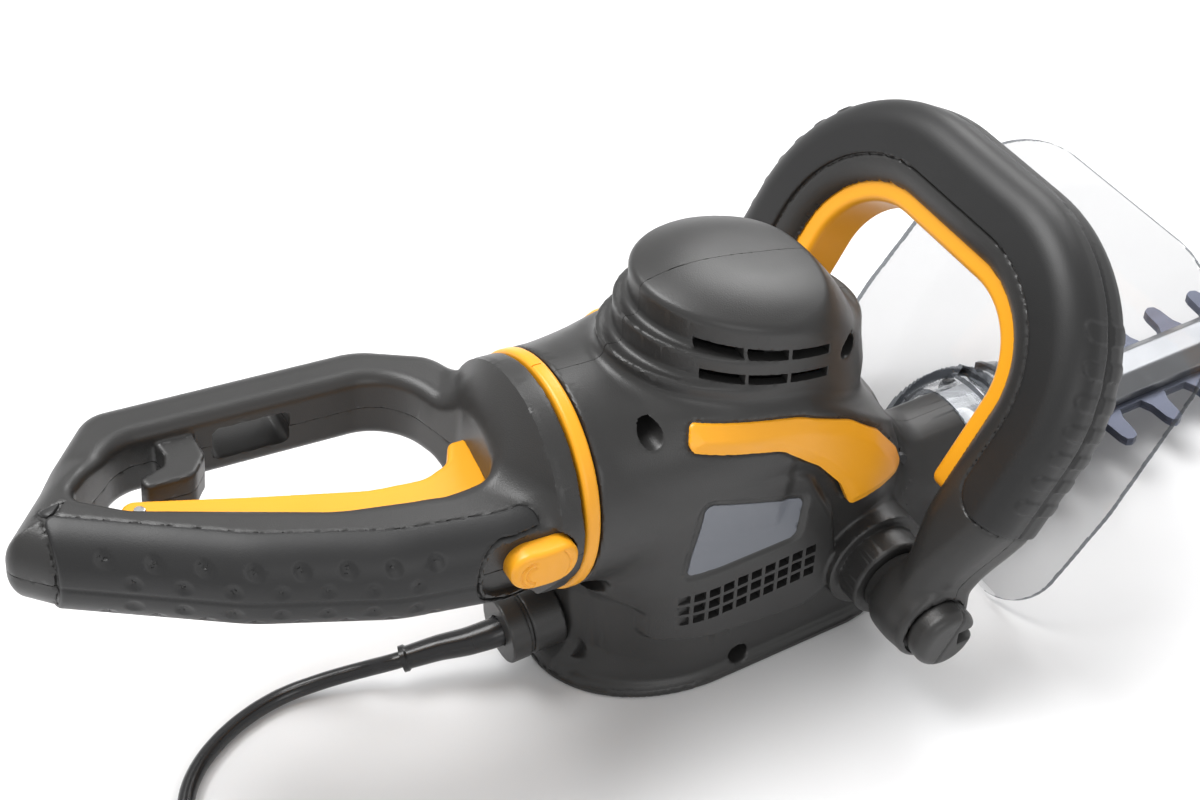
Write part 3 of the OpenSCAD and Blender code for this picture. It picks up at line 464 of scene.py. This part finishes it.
def housing_field(side):
    """One half of the housing: -1 is the right half, with the screw posts, and 1 the left."""
    def field(p):
        x, y, z = split(p)
        skin = body_skin(p)
        value = relief(p, skin)
        outer = value
        wide, narrow = [rod(x - HUB[0], z - HUB[1], np.abs(y), radius, 20, reach, 1.2)
                        for radius, reach in HUB_STEPS]
        boss = either(wide, narrow, 0.8)
        value = either(value, boss, 1.5)
        s, _, t = leaning(p, *SWIVEL)
        value = np.maximum(value, -(skin + SKIN_TO_INSIDE))
        value = np.maximum(value, -rod(y, t, s, 37, -10, 4.4))
        value = cut(value, vents(p), 0.3)
        value = local(p, value, (-54, -60, 34), (16, 60, 64), lambda q, v: cut(v, grid(q), 0.25))
        value = np.maximum(value, -rod(y, z - GLAND_Z, x, 9.3, -100, -60))
        if side < 0:
            for u, w in SCREWS:
                hole = rod(x - u, z - w, y, 4.3, -80, -14)
                post = rod(x - u, z - w, y, 6.2, -80, -8)
                value = cut(np.minimum(value, np.maximum(post, outer + 0.5)), hole, 0.6)
        return both(value, side * -y + 0.06, 0.3)
    return field


# ---------------------------------------------------------------- materials


ROUGH_SPREAD = 0.06


def material(name, colour, rough, metal=0.0, grain=0.0004, bump=0.1, spread=0.08, streak=None):
    """Moulded or rolled stuff: colour and roughness vary softly, and a fine grain stands out of it."""
    made = bpy.data.materials.new(name)
    made.use_nodes = True
    nodes, links = made.node_tree.nodes, made.node_tree.links
    shader = nodes["Principled BSDF"]
    place_in = nodes.new("ShaderNodeTexCoord")
    mapping = nodes.new("ShaderNodeMapping")
    mapping.inputs["Scale"].default_value = streak or (1, 1, 1)
    links.new(place_in.outputs["Object"], mapping.inputs["Vector"])

    def noise(size, detail=3.0):
        node = nodes.new("ShaderNodeTexNoise")
        node.inputs["Scale"].default_value = 1 / size
        node.inputs["Detail"].default_value = detail
        links.new(mapping.outputs["Vector"], node.inputs["Vector"])
        return node

    cloud = noise(0.06)
    ramp = nodes.new("ShaderNodeValToRGB")
    ramp.color_ramp.elements[0].position = 0.3
    ramp.color_ramp.elements[1].position = 0.7
    ramp.color_ramp.elements[0].color = (*[c * (1 - spread) for c in colour], 1)
    ramp.color_ramp.elements[1].color = (*[min(1, c * (1 + spread)) for c in colour], 1)
    links.new(cloud.outputs["Fac"], ramp.inputs["Fac"])
    links.new(ramp.outputs["Color"], shader.inputs["Base Color"])
    speckle = noise(grain, 2.0)
    span = nodes.new("ShaderNodeMapRange")
    span.inputs["To Min"].default_value = rough - ROUGH_SPREAD
    span.inputs["To Max"].default_value = rough + ROUGH_SPREAD
    links.new(noise(0.02).outputs["Fac"], span.inputs["Value"])
    links.new(span.outputs["Result"], shader.inputs["Roughness"])
    raised = nodes.new("ShaderNodeBump")
    raised.inputs["Strength"].default_value = bump
    raised.inputs["Distance"].default_value = grain * 0.4
    links.new(speckle.outputs["Fac"], raised.inputs["Height"])
    links.new(raised.outputs["Normal"], shader.inputs["Normal"])
    shader.inputs["Metallic"].default_value = metal
    return made


PLASTIC = material("satin_plastic", (0.026, 0.0255, 0.025), 0.38, grain=0.0005, bump=0.35)
RUBBER = material("grip_rubber", (0.011, 0.011, 0.0113), 0.45, grain=0.0004, bump=0.3)
AMBER = material("amber_plastic", (0.86, 0.37, 0.014), 0.36, grain=0.0006, bump=0.12, spread=0.03)
SLATE = material("badge_plastic", (0.155, 0.165, 0.19), 0.34, grain=0.0004, bump=0.15, spread=0.04)
BLACK = material("cord_black", (0.012, 0.012, 0.013), 0.26, grain=0.0006, bump=0.1)
STEEL = material("steel", (0.56, 0.57, 0.58), 0.3, metal=1.0, grain=0.0005, bump=0.15)
ALLOY = material("cast_alloy", (0.30, 0.308, 0.32), 0.36, metal=1.0, grain=0.0006, bump=0.25)
BLADE = material("blade_steel", (0.10, 0.11, 0.15), 0.36, metal=0.7, grain=0.0005, bump=0.15,
                 streak=(1, 12, 12))
COPPER = material("copper", (0.75, 0.33, 0.16), 0.3, metal=1.0)
BRONZE = material("bronze", (0.62, 0.42, 0.18), 0.35, metal=1.0)
DARK = material("black_plastic", (0.02, 0.02, 0.022), 0.45)


def clear_material(name, tint, gloss):
    """Clear sheet that lets light straight through, with a glossy reflection and a faint tint."""
    made = bpy.data.materials.new(name)
    made.use_nodes = True
    nodes, links = made.node_tree.nodes, made.node_tree.links
    nodes.remove(nodes["Principled BSDF"])
    out = nodes["Material Output"]
    through = nodes.new("ShaderNodeBsdfTransparent")
    through.inputs["Color"].default_value = (*tint, 1)
    shine = nodes.new("ShaderNodeBsdfGlossy")
    shine.inputs["Roughness"].default_value = 0.06
    shine.inputs["Color"].default_value = (0.9, 0.92, 0.94, 1)
    weight = nodes.new("ShaderNodeLayerWeight")
    weight.inputs["Blend"].default_value = 0.5
    power = nodes.new("ShaderNodeMath")
    power.operation = "POWER"
    power.inputs[1].default_value = gloss
    links.new(weight.outputs["Facing"], power.inputs[0])
    span = nodes.new("ShaderNodeMapRange")
    span.inputs["To Min"].default_value = 0.03
    span.inputs["To Max"].default_value = 0.75
    links.new(power.outputs["Value"], span.inputs["Value"])
    mix = nodes.new("ShaderNodeMixShader")
    links.new(span.outputs["Result"], mix.inputs["Fac"])
    links.new(through.outputs["BSDF"], mix.inputs[1])
    links.new(shine.outputs["BSDF"], mix.inputs[2])
    links.new(mix.outputs["Shader"], out.inputs["Surface"])
    return made


CLEAR = clear_material("clear_plastic", (0.83, 0.83, 0.832), 3.0)
# The dark tint for the guard's narrow faces is painted shade, standing in for refraction at the sheet's
# edges.
CLEAR_EDGE_SHADE = clear_material("clear_edge_painted_shade", (0.22, 0.23, 0.245), 6.0)

# ---------------------------------------------------------------- cord

CORD_D = 6.5
CORD_SLACK = 1.01
CORD_START = (-97, 0, 25)
CORD_ROUTE = ((-105, 0.5, 24), (-115, 3.5, 21.5), (-125, 8, 19), (-139, 12, 16),
              (-141.8, 12.8, 15.4), (-150.7, 18, 11), (-161.3, 22.2, 8), (-171.2, 25.3, 5.5),
              (-180.9, 27, 3.9), (-190.7, 26.4, 3.4), (-200.3, 24, 3.4),
              (-208, 21, 3.4), (-214.9, 17.3, 3.4), (-220.8, 13.2, 3.4),
              (-226, 8.4, 3.4), (-229.9, 3.6, 3.4), (-233, -1.6, 3.4), (-236.6, -10, 3.4),
              (-239, -22, 3.4), (-239.5, -38, 3.4), (-236.5, -60, 3.4), (-229, -81, 3.4),
              (-219, -102, 3.4), (-208, -122, 4.6), (-198, -141, 8.6), (-190, -156, 11.4))


def smooth_curve(name, route, radius):
    """A round bevelled curve through the route's points."""
    data = bpy.data.curves.new(name, "CURVE")
    data.dimensions = "3D"
    data.bevel_depth = radius * MM
    data.bevel_resolution = 6
    data.resolution_u = 12
    data.use_fill_caps = True
    spline = data.splines.new("BEZIER")
    spline.bezier_points.add(len(route) - 1)
    for point, spot in zip(spline.bezier_points, route):
        point.co = [c * MM for c in spot]
        point.handle_left_type = point.handle_right_type = "AUTO"
    obj = bpy.data.objects.new(name, data)
    bpy.context.scene.collection.objects.link(obj)
    return obj


def route_length(route):
    """Length of a route in metres."""
    return sum(math.dist(a, b) for a, b in zip(route, route[1:])) * MM


def make_cord():
    """The mains cord; its smooth curve is a little longer than the straight lines between its points."""
    route = (CORD_START, *CORD_ROUTE)
    cord = smooth_curve("mains_cord", route, CORD_D / 2)
    place(cord, BLACK, "root", ("cord",), "cord_rubber")
    round(route_length(route) * CORD_SLACK, 3)


make_cord()

# ---------------------------------------------------------------- pieces of the housing


def trim_field(outline, side, proud, depth, bevel):
    """A plate that follows the housing's skin, with a bevelled rim."""
    def field(p):
        x, y, z = split(p)
        edge = outline(x, z)
        lift = 0.5 + (proud - 0.5) * ease(-edge / bevel)
        skin = relief(p, body_skin(p)) if outline is badge_outline else body_skin(p)
        shell = np.maximum(skin - lift, -(skin + depth))
        value = both(edge, shell, 0.35)
        return np.maximum(value, 20 - side * y)
    return field


def make_housing():
    for side, name in ((-1, "housing_right"), (1, "housing_left")):
        low = (-96, -62 if side < 0 else -1, -2)
        high = (110, 1 if side < 0 else 62, 182)
        form(name + "_shell", housing_field(side), low, high, 1.05, PLASTIC, "root", (name,),
             "body_plastic", keep=0.45)
    for side, word in ((-1, "right"), (1, "left")):
        y0, y1 = (-52, -18) if side < 0 else (18, 52)
        form("flash_trim_" + word, trim_field(flash_outline, side, 1.7, 2.4, 5.0),
             (-54, y0, 66), (56, y1, 150), 0.8, AMBER, "root", ("flash_" + word,), "amber_plastic")
        form("badge_plate_" + word, trim_field(badge_outline, side, 0.5, 2.0, 0.6),
             (-50, y0, 62), (8, y1, 108), 0.8, SLATE, "root", ("badge_" + word,), "badge_plastic")


def ring_field(p):
    """The amber ring round the swivel, with a fine notch near its top."""
    s, y, t = leaning(p, *SWIVEL)
    around = np.arctan2(y, t)
    value = both(np.hypot(y, t) - RING_R, np.maximum(-2.2 - s, s - 3.6), 1.6)
    value = np.maximum(value, 37.3 - np.hypot(y, t))
    notch = np.maximum(np.abs(around - 0.12) * RING_R - 0.25, 43.6 - np.hypot(y, t))
    return np.maximum(value, -notch)


make_housing()
form("swivel_ring_band", ring_field, (-100, -46, 58), (-78, 46, 152), 0.8, AMBER, "root",
     ("swivel_ring",), "amber_plastic")

# ---------------------------------------------------------------- rear handle

GRIP_HALF, BAR_HALF = 18.0, 14.5
LOCK_S, LOCK_Y, LOCK_T = -20.0, -40.0, 1.2
PIN_S, PIN_Y = -137, 23
WINDOW_S, WINDOW_Y = -85.5, 65
rear_outline = Outline((-4, -43, 2), (-4, 43, 2), (-12, 60, 18), (-38, 73.5, 30), (-140, 73.5, 14),
                       (-185, 20, 6), (-172, 8, 20), (-116, -24, 80), (-70, -41, 60), (-30, -47, 30))
hole_outline = Outline((-24, -16, 8), (-20, 20, 10), (-31, 53.5, 22), (-134, 53.5, 18),
                       (-159, 30, 5), (-142, 17, 20), (-80, -9, 60), (-44, -16, 20))
hook_outline = Outline((-107, 57, 1), (-122, 57, 1), (-120, 47, 6), (-122, 42, 3), (-132, 38, 2),
                       (-131, 33, 2.4), (-114, 33, 7), (-107, 42, 4))
trigger_outline = Outline((-143, 15, 3), (-42, -26, 6), (-28, -22, 6), (-18.5, 0, 8),
                          (-16.5, 16.5, 3.4), (-26, 16.5, 3.4), (-31, 7, 8), (-42, 2.5, 14), (-62, 4.5, 40),
                          (-100, 16.5, 60), (-143, 31, 5))
lock_outline = Outline((-33, -5.8, 7.4), (-7, -5.8, 7.4), (-7, 9.8, 7.4), (-33, 9.8, 7.4))
recess_outline = Outline((-42, -9.5, 9), (-9, -10.5, 10), (-4.5, 12.2, 10), (-42, 12.2, 9))
trigger_space = Outline((-147, 8, 1), (-46, -37, 1), (-24, -36, 1), (-15.5, -2, 1), (-15, 14, 2),
                        (-26, 15, 4), (-60, 10, 4), (-147, 37, 1))
DIMPLES = [(-58 - 14 * i, 11.5) for i in range(8)] + [(-65 - 14 * i, 5) for i in range(7)]
REAR_SCREWS = ((-60, 63.5), (-128, 63.5), (-166, 17), (-58, -33))


def rear_skin(p):
    """The closed outer form of the rear handle: a loop, thicker where it is gripped, and its neck."""
    s, y, t = leaning(p, *SWIVEL)
    grip = ease(0.5 - (y - 18 + 0.2 * (20 + s)) / 14)
    half = BAR_HALF + (GRIP_HALF - BAR_HALF) * grip
    outer = rear_outline(s, y)
    loop = both(outer, np.abs(t) - half, 9 + 7 * grip)
    fall = np.clip((-12 - s) / 40, 0, 1)
    radius = 43.4 - 26 * (1 - (1 - fall) ** 2.5)
    neck = both((np.hypot(y, t) - radius) * 0.8, np.maximum(s + 3, -50 - s), 1.2)
    band = both(np.hypot(y, t) - 43.6, np.maximum(s + 3, -11 - s), 1.4)
    shape = either(loop, np.minimum(neck, band), 7)
    shape = both(shape, s + 3, 1)
    shape = both(shape, -hole_outline(s, y), 5.5)
    hook = both(hook_outline(s, y), np.abs(t) - 8, 1.5)
    return either(shape, hook, 1.5)


def lock_seat(p):
    """The shallow recess that the lock button slides in."""
    s, y, t = leaning(p, *SWIVEL)
    return np.maximum(recess_outline(s, t), y - LOCK_Y + 1.6)


def rubber_zone(p):
    """Where the soft overmould lies on the rear handle, as a field over its skin."""
    s, y, t = leaning(p, *SWIVEL)
    inward = rear_outline(s, y) + 14
    zone = both(-inward, np.maximum(s + 15 + 0.25 * np.abs(t), -170 - s), 6)
    zone = np.maximum(zone, y - 26)
    return both(zone, -(recess_outline(s, t) - 2.2), 1.5)


def rear_shell_field(side):
    """One half of the rear handle's hollow shell: 1 is the half uppermost at rest, -1 the other."""
    def field(p):
        s, y, t = leaning(p, *SWIVEL)
        skin = rear_skin(p)
        value = skin + 0.7 * ease(0.5 - (np.abs(rubber_zone(p) - 0.2) - 0.4) / 0.8)
        value = cut(value, lock_seat(p), 1.0)
        window = brick(s - WINDOW_S, y - WINDOW_Y, t, (14.5, 25, 7), 3)
        lip = brick(s - WINDOW_S, y - WINDOW_Y, t, (17, 25, 8.6), 4)
        value = cut(value, np.maximum(lip, 72 - y), 0.8)
        value = cut(value, window, 0.8)
        value = np.maximum(value, -np.maximum(trigger_space(s, y), np.abs(t) - 8.6))
        cavity = np.maximum(skin + 3.4, -(window - 2.4))
        cavity = np.maximum(cavity, -(lock_seat(p) - 2.4))
        value = np.maximum(value, -cavity)
        if side < 0:
            for u, v in REAR_SCREWS:
                value = cut(value, rod(s - u, y - v, -t, 3.6, 10, 60), 0.6)
        return both(value, -side * t + 0.06, 0.35)
    return field


def rear_grip_field(p):
    s, y, t = leaning(p, *SWIVEL)
    skin = rear_skin(p)
    value = np.maximum(skin - 1.0, -(skin + 1.2))
    for u, w in DIMPLES:
        drop = np.sqrt((s - u) ** 2 + (np.abs(t) - w) ** 2)
        value = value + 0.75 * np.clip(1 - (drop / 2.9) ** 2, 0, 1)
    value = value + 0.35 * ease(1.4 - np.abs(t) / 0.9)
    return both(rubber_zone(p) + 0.25, value, 0.9)


def trigger_field(p):
    s, y, t = leaning(p, *SWIVEL)
    value = both(trigger_outline(s, y), np.abs(t) - 8, 2.2)
    return np.maximum(value, -rod(s - PIN_S, y - PIN_Y, t, 2.05, -10, 10))


def pin_field(p):
    s, y, t = leaning(p, *SWIVEL)
    return rod(s - PIN_S, y - PIN_Y, t, 1.9, -8.6, 8.6, 0.3)


def lock_field(p):
    """The lock button: a crowned pad with shallow curved marks at its ends."""
    s, y, t = leaning(p, *SWIVEL)
    flat = lock_outline(s, t)
    crown = -50.2 + 0.012 * ((s - LOCK_S) ** 2 + (t - LOCK_T) ** 2)
    value = both(flat, np.maximum(crown - y, y - LOCK_Y), 1.8)
    for reach in (5.6, 3.6):
        arc = np.abs(np.hypot(s - LOCK_S + 4, t - LOCK_T) - reach) - 0.45
        value = value + 0.45 * ease(0.5 - np.maximum(arc, s + 24.5) / 0.5) * (y < -46)
    bars = np.abs(np.hypot(s - LOCK_S, t - LOCK_T) - 9.2) - 0.4
    return value + 0.35 * ease(0.5 - np.maximum(bars, -14 - s) / 0.5) * (y < -46)


def make_rear_handle():
    low, high = (-298, -54, 78), (-84, 78, 166)
    for side, word in ((1, "upper"), (-1, "lower")):
        form("rear_shell_" + word + "_skin", rear_shell_field(side), low, high, 1.05, PLASTIC,
             "rear_handle", ("rear_shell_" + word,), "body_plastic", keep=0.5)
    form("rear_grip_rubber", rear_grip_field, (-262, -50, 84), (-96, 30, 150), 0.75, RUBBER,
         "rear_handle", ("rear_grip",), "grip_rubber", keep=0.6)
    form("trigger_lever", trigger_field, (-236, -32, 96), (-98, 36, 140), 0.8, AMBER, "trigger",
         ("trigger",), "amber_plastic")
    form("trigger_pin_rod", pin_field, (-230, 18, 100), (-216, 28, 148), 0.6, STEEL, "rear_handle",
         ("trigger_pin",), "steel")
    form("lock_slider", lock_field, (-124, -53, 92), (-88, -38, 124), 0.55, AMBER, "lock_button",
         ("lock_button",), "amber_plastic")


make_rear_handle()

# ---------------------------------------------------------------- front handle

HANDLE_X, HANDLE_LEAN = 16.0, 30.5
LEG_Y, LOOP_TOP, HUB_S = 77.0, 180.5, 43.0
loop_line = Outline((-LEG_Y, -120, 5), (LEG_Y, -120, 5), (LEG_Y, LOOP_TOP, 55),
                    (-LEG_Y, LOOP_TOP, 55))


def handle_points(p):
    """Across the loop from its middle line, along it up the legs, through its thickness."""
    n, y, s = leaning(p, HANDLE_X, 0, HANDLE_LEAN)
    return loop_line(y, s), n, y, s


def loop_skin(p):
    """The closed outer form of the front handle: the loop, its necks and the sockets of its bolts."""
    u, n, y, s = handle_points(p)
    thick = np.hypot(n, np.minimum(s - HUB_S, 0))
    outer, inner = 8 * ease((96 - s) / 38), 5 * ease((86 - s) / 30)
    value = both(np.abs(u + (outer - inner) / 2) - 17 + (outer + inner) / 2, thick - 16, 11)
    neck = rod(n, s - HUB_S, np.abs(y), 13.5, 57, 70, 1.0)
    value = either(value, neck, 7)
    socket = rod(n, s - HUB_S, np.abs(y), 16, 66, 86.5, 2.5)
    return either(value, socket, 3)


def loop_zone(p):
    """Where the soft overmould lies on the front handle."""
    u, n, y, s = handle_points(p)
    return both(-(u + 5), 92 - s, 11)


def handle_shell_field(side):
    def field(p):
        u, n, y, s = handle_points(p)
        skin = loop_skin(p)
        value = skin + 0.7 * ease(0.5 - (np.abs(loop_zone(p) - 0.2) - 0.4) / 0.8)
        across = np.abs(y)
        value = cut(value, rod(n, s - HUB_S, across, 13.5, 84.1, 120), 0.8)
        value = np.maximum(value, -rod(n, s - HUB_S, across, 4.2, 40, 120))
        value = cut(value, rod(n, s - HUB_S, across, 16.4, 40, 59.9), 0.3)
        value = np.maximum(value, -np.maximum(np.maximum(np.abs(n) - 11.2, u + 5.6), 86 - s))
        value = np.maximum(value, -np.maximum(skin + 3.2, 100 - s))
        return both(value, side * -n + 0.06, 0.35)
    return field


def handle_grip_field(p):
    u, n, y, s = handle_points(p)
    skin = loop_skin(p)
    value = np.maximum(skin - 1.1, -(skin + 1.2))
    mask = ease((u - 4) / 3) * ease((s - 100) / 2) * ease((178 - s) / 2)
    tongue = np.hypot(np.maximum(np.abs(n) - 9, 0), np.mod(s - 101, 11) - 5.5) - 2.8
    value = value - 0.6 * mask * ease(0.5 - tongue / 1.2) * ease((np.abs(n) - 1) / 1.2)
    value = value + 0.5 * ease(1.2 - np.abs(n) / 0.8) * ease((u - 6) / 3)
    return both(loop_zone(p) + 0.25, value, 0.9)


def squeeze_bar_field(p):
    u, n, y, s = handle_points(p)
    return both(both(np.abs(u + 16.8) - 6, np.abs(n) - 10.6, 2.8), 88 - s, 4)


def knob_field(side):
    """The notched cap over the bolt at the foot of a leg."""
    def field(p):
        x, y, z = split(p)
        n, _, s = leaning(p, HANDLE_X, 0, HANDLE_LEAN)
        s = s - HUB_S
        value = rod(n, s, side * y, 13.1, 84.3, 96, 4.2)
        value = np.maximum(value, -rod(n, s, side * y, 4.05, 80, 84.6))
        value = cut(value, brick(x - HUB[0] - 12, side * y - 97, z - HUB[1], (8, 7, 3), 0.5), 0.8)
        return value + 0.5 * ease(1.2 - np.abs(n) / 0.6) * (side * y > 86)
    return field


def make_front_handle():
    low, high = (14, -97, 12), (132, 97, 182)
    for side, word in ((-1, "rear"), (1, "front")):
        form("handle_shell_" + word + "_skin", handle_shell_field(side), low, high, 1.1, PLASTIC,
             "root", ("handle_shell_" + word,), "body_plastic", keep=0.5)
    form("handle_grip_rubber", handle_grip_field, (48, -97, 68), (132, 97, 184), 0.8, RUBBER,
         "root", ("handle_grip",), "grip_rubber", keep=0.5)
    form("switch_bar_strip", squeeze_bar_field, (46, -68, 68), (114, 68, 162), 0.9, AMBER,
         "switch_bar", ("switch_bar",), "amber_plastic")
    for side, word in ((-1, "right"), (1, "left")):
        y0, y1 = sorted((side * 83, side * 96))
        form("handle_knob_" + word, knob_field(side), (22, y0, 21), (54, y1, 53), 0.6, PLASTIC, "root",
             ("handle_knobs",), "body_plastic")


make_front_handle()

# ---------------------------------------------------------------- guard and cord gland

GUARD_X, GUARD_LEAN, GUARD_T = 86.0, 35.5, 3.0
NOSE_END, NECK_JOINT = 144.0, 107.3
GUARD_RIBS, GUSSET_Y = (121, 135), 17
EDGE_LIMIT = 0.8
guard_outline = Outline((-79, 3, 25), (79, 3, 25), (81.5, 62, 60), (76, 161, 48), (-76, 161, 48),
                        (-81.5, 62, 60))


def guard_field(p):
    """The leaning clear sheet, with its sleeve round the neck, two ribs and two gussets."""
    x, y, z = split(p)
    n, _, s = leaning(p, GUARD_X, 0, GUARD_LEAN)
    sheet = both(guard_outline(y, s), np.maximum(-n, n - GUARD_T), 0.5)
    around = np.hypot(y, z - NECK_Z)
    sleeve = both(np.maximum(around - NECK_R, NECK_R - 2.8 - around),
                  np.maximum(np.maximum(NECK_JOINT - x, x - NOSE_END), 3 - z), 0.6)
    value = either(sheet, sleeve, 2)
    rib = np.minimum(*[np.abs(x - rib_x) for rib_x in GUARD_RIBS]) - 1
    rib = both(np.maximum(np.maximum(around - NECK_R - 3, NECK_R - 2 - around), NECK_Z - z),
               np.maximum(rib, np.abs(y) - 18), 0.5)
    gusset = np.maximum(np.abs(np.abs(y) - GUSSET_Y) - 1.2, NECK_R - 2 - around)
    gusset = np.maximum(gusset, np.maximum((x - 108) * 0.6 + (z - 48) * 0.8 - 12, NECK_JOINT - x))
    gusset = np.maximum(gusset, -n)
    value = np.minimum(value, np.minimum(rib, gusset))
    value = np.maximum(value, -np.maximum(around - NECK_R + 2.8, 100 - x))
    value = np.maximum(value, -np.maximum(around - NECK_R - 0.3, x - NECK_JOINT))
    return np.maximum(value, -np.maximum(np.abs(y) - 14.5, z - 12))


def make_guard():
    """The guard; its narrow faces get a dark tint, painted shade in place of the darkening that refraction
    gives the edges of a clear sheet.
    """
    guard = form("guard_sheet", guard_field, (80, -84, 2), (186, 84, 136), 0.8, CLEAR, "root",
                 ("guard",), "clear_plastic")
    guard.data.materials.append(CLEAR_EDGE_SHADE)
    lean = math.radians(GUARD_LEAN)
    flat = Vector((math.cos(lean), 0, -math.sin(lean)))
    for face in guard.data.polygons:
        x, y, z = face.center / MM
        around = Vector((0, y, z - NECK_Z))
        on_sleeve = abs(around.length - NECK_R) < 4.5
        across = face.normal.dot(around.normalized()) if on_sleeve else face.normal.dot(flat)
        # Faces across the sheet get the dark edge tint: painted shade.
        face.material_index = 1 if abs(across) < EDGE_LIMIT else 0


make_guard()


def gland_field(p):
    x, y, z = split(p)
    around = np.hypot(y, z - GLAND_Z)
    rings = ((9.2, -82, -66), (13.4, -93.5, -80.1), (12.2, -96, -92), (13.6, -103, -94.8))
    value = np.full(x.shape, FAR)
    for r, x0, x1 in rings:
        value = np.minimum(value, both(around - r, np.maximum(x0 - x, x - x1), 0.9))
    return np.maximum(value, 6.3 - around)


form("cord_gland_collar", gland_field, (-105, -15, 10), (-64, 15, 40), 0.6, PLASTIC, "root",
     ("cord_gland",), "body_plastic")

RELIEF_ROUTE = (CORD_START, *CORD_ROUTE[:4])


def sleeve_round(name, route, profile, sides=32, steps=12):
    """A tapered sleeve along a route; profile gives its radius at each share of the way."""
    pts = np.array(route, float)
    at = np.concatenate(([0], np.cumsum(np.linalg.norm(np.diff(pts, axis=0), axis=1))))
    share = np.linspace(0, at[-1], steps * (len(pts) - 1) + 1)
    line = np.stack([np.interp(share, at, pts[:, i]) for i in range(3)], 1)
    for _ in range(8):
        line[1:-1] = (line[:-2] + 2 * line[1:-1] + line[2:]) / 4
    ahead = np.gradient(line, axis=0)
    ahead /= np.linalg.norm(ahead, axis=1, keepdims=True)
    side = np.cross(ahead, (0, 0, 1))
    side /= np.linalg.norm(side, axis=1, keepdims=True)
    up = np.cross(side, ahead)
    angle = np.linspace(0, 2 * math.pi, sides, endpoint=False)
    rings = []
    for spot, a, b, k in zip(line, side, up, share / at[-1]):
        rings.append(spot + profile(k) * (np.cos(angle)[:, None] * a + np.sin(angle)[:, None] * b))
    points = np.concatenate((*rings, line[:1], line[-1:]))
    faces = []
    for i in range(len(line) - 1):
        for j in range(sides):
            k = (j + 1) % sides
            faces.append((i * sides + j, (i + 1) * sides + j, (i + 1) * sides + k, i * sides + k))
    start, end = len(line) * sides, len(line) * sides + 1
    last = (len(line) - 1) * sides
    mesh = bpy.data.meshes.new(name)
    caps = [(j, (j + 1) % sides, start) for j in range(sides)]
    caps += [(last + (j + 1) % sides, last + j, end) for j in range(sides)]
    mesh.from_pydata([tuple(v * MM) for v in points], [], faces + caps)
    mesh.polygons.foreach_set("use_smooth", np.ones(len(mesh.polygons), bool))
    mesh.set_sharp_from_angle(angle=math.radians(40))
    obj = bpy.data.objects.new(name, mesh)
    bpy.context.scene.collection.objects.link(obj)
    return obj


def relief_radius(k):
    return 6.2 - 1.7 * k + (0.8 if k > 0.94 else 0) + (0.5 if k < 0.06 else 0)


place(sleeve_round("strain_relief_sleeve", RELIEF_ROUTE, relief_radius), BLACK, "root",
      ("strain_relief",), "cord_rubber")

# ---------------------------------------------------------------- finishes of the frame's own parts

FINISH = (
    (PLASTIC, ("cord_clamp", "handle_switch", "tip_guard")),
    (BLACK, ("plug",)),
    (DARK, ("motor_bracket", "fan", "main_switch", "gear_case_plate", "capacitor",
            "carbon_brushes", "housing_screws", "guard_screws")),
    (STEEL, ("blade_screws", "handle_bolts", "rear_handle_screws", "gear_case_screws",
             "lock_spring", "armature_shaft", "armature_core", "stator", "upper_bearing",
             "lower_bearing", "reduction_gear")),
    (ALLOY, ("guide_bar", "gear_case")),
    (BLADE, ("upper_blade", "lower_blade")),
    (COPPER, ("field_coils", "commutator")),
    (BRONZE, ("brush_holders", "gear_bush")),
)


def finish_nodes():
    """Gives the frame's own meshes their finish; those that a form stands for are left out."""
    for made, names in FINISH:
        for name in names:
            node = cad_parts[name]
            node.data.materials.clear()
            node.data.materials.append(made)


finish_nodes()

# ---------------------------------------------------------------- floor and light


FLOOR_HALF = 6
WORLD_STRENGTH = 0.66


def make_stage():
    """The pale floor that the machine lies on."""
    floor = bpy.data.meshes.new("floor")
    corners = ((-1, -1), (1, -1), (1, 1), (-1, 1))
    floor.from_pydata([(FLOOR_HALF * x, FLOOR_HALF * y, 0) for x, y in corners], [], [(0, 1, 2, 3)])
    obj = bpy.data.objects.new("floor", floor)
    bpy.context.scene.collection.objects.link(obj)
    floor.materials.append(material("floor_white", (0.80, 0.80, 0.805), 0.5, spread=0.004, bump=0.0,
                                    grain=0.002))


def area_light(name, place_at, toward, size, power, size_y=None):
    data = bpy.data.lights.new(name, "AREA")
    data.shape = "RECTANGLE"
    data.size, data.size_y = size, size_y or size
    data.energy = power
    obj = bpy.data.objects.new(name, data)
    obj.location = place_at
    obj.rotation_euler = (Vector(toward) - Vector(place_at)).to_track_quat("-Z", "Y").to_euler()
    bpy.context.scene.collection.objects.link(obj)


def make_light():
    """Soft daylight-like studio: a white surround, a key over the rear, weak side and back lights."""
    bpy.context.scene.view_settings.view_transform = "Standard"
    world = bpy.data.worlds.new("studio")
    bpy.context.scene.world = world
    world.use_nodes = True
    world.node_tree.nodes["Background"].inputs["Color"].default_value = (1, 1, 1, 1)
    world.node_tree.nodes["Background"].inputs["Strength"].default_value = WORLD_STRENGTH
    area_light("key", (-0.5, 0.6, 1.8), (0, 0, 0.1), 1.1, 38)
    area_light("side", (-0.2, -1.9, 1.0), (0, 0, 0.1), 1.1, 6, 0.7)
    area_light("back", (1.3, 0.9, 1.3), (0, 0, 0.1), 1.0, 18)


make_stage()
make_light()
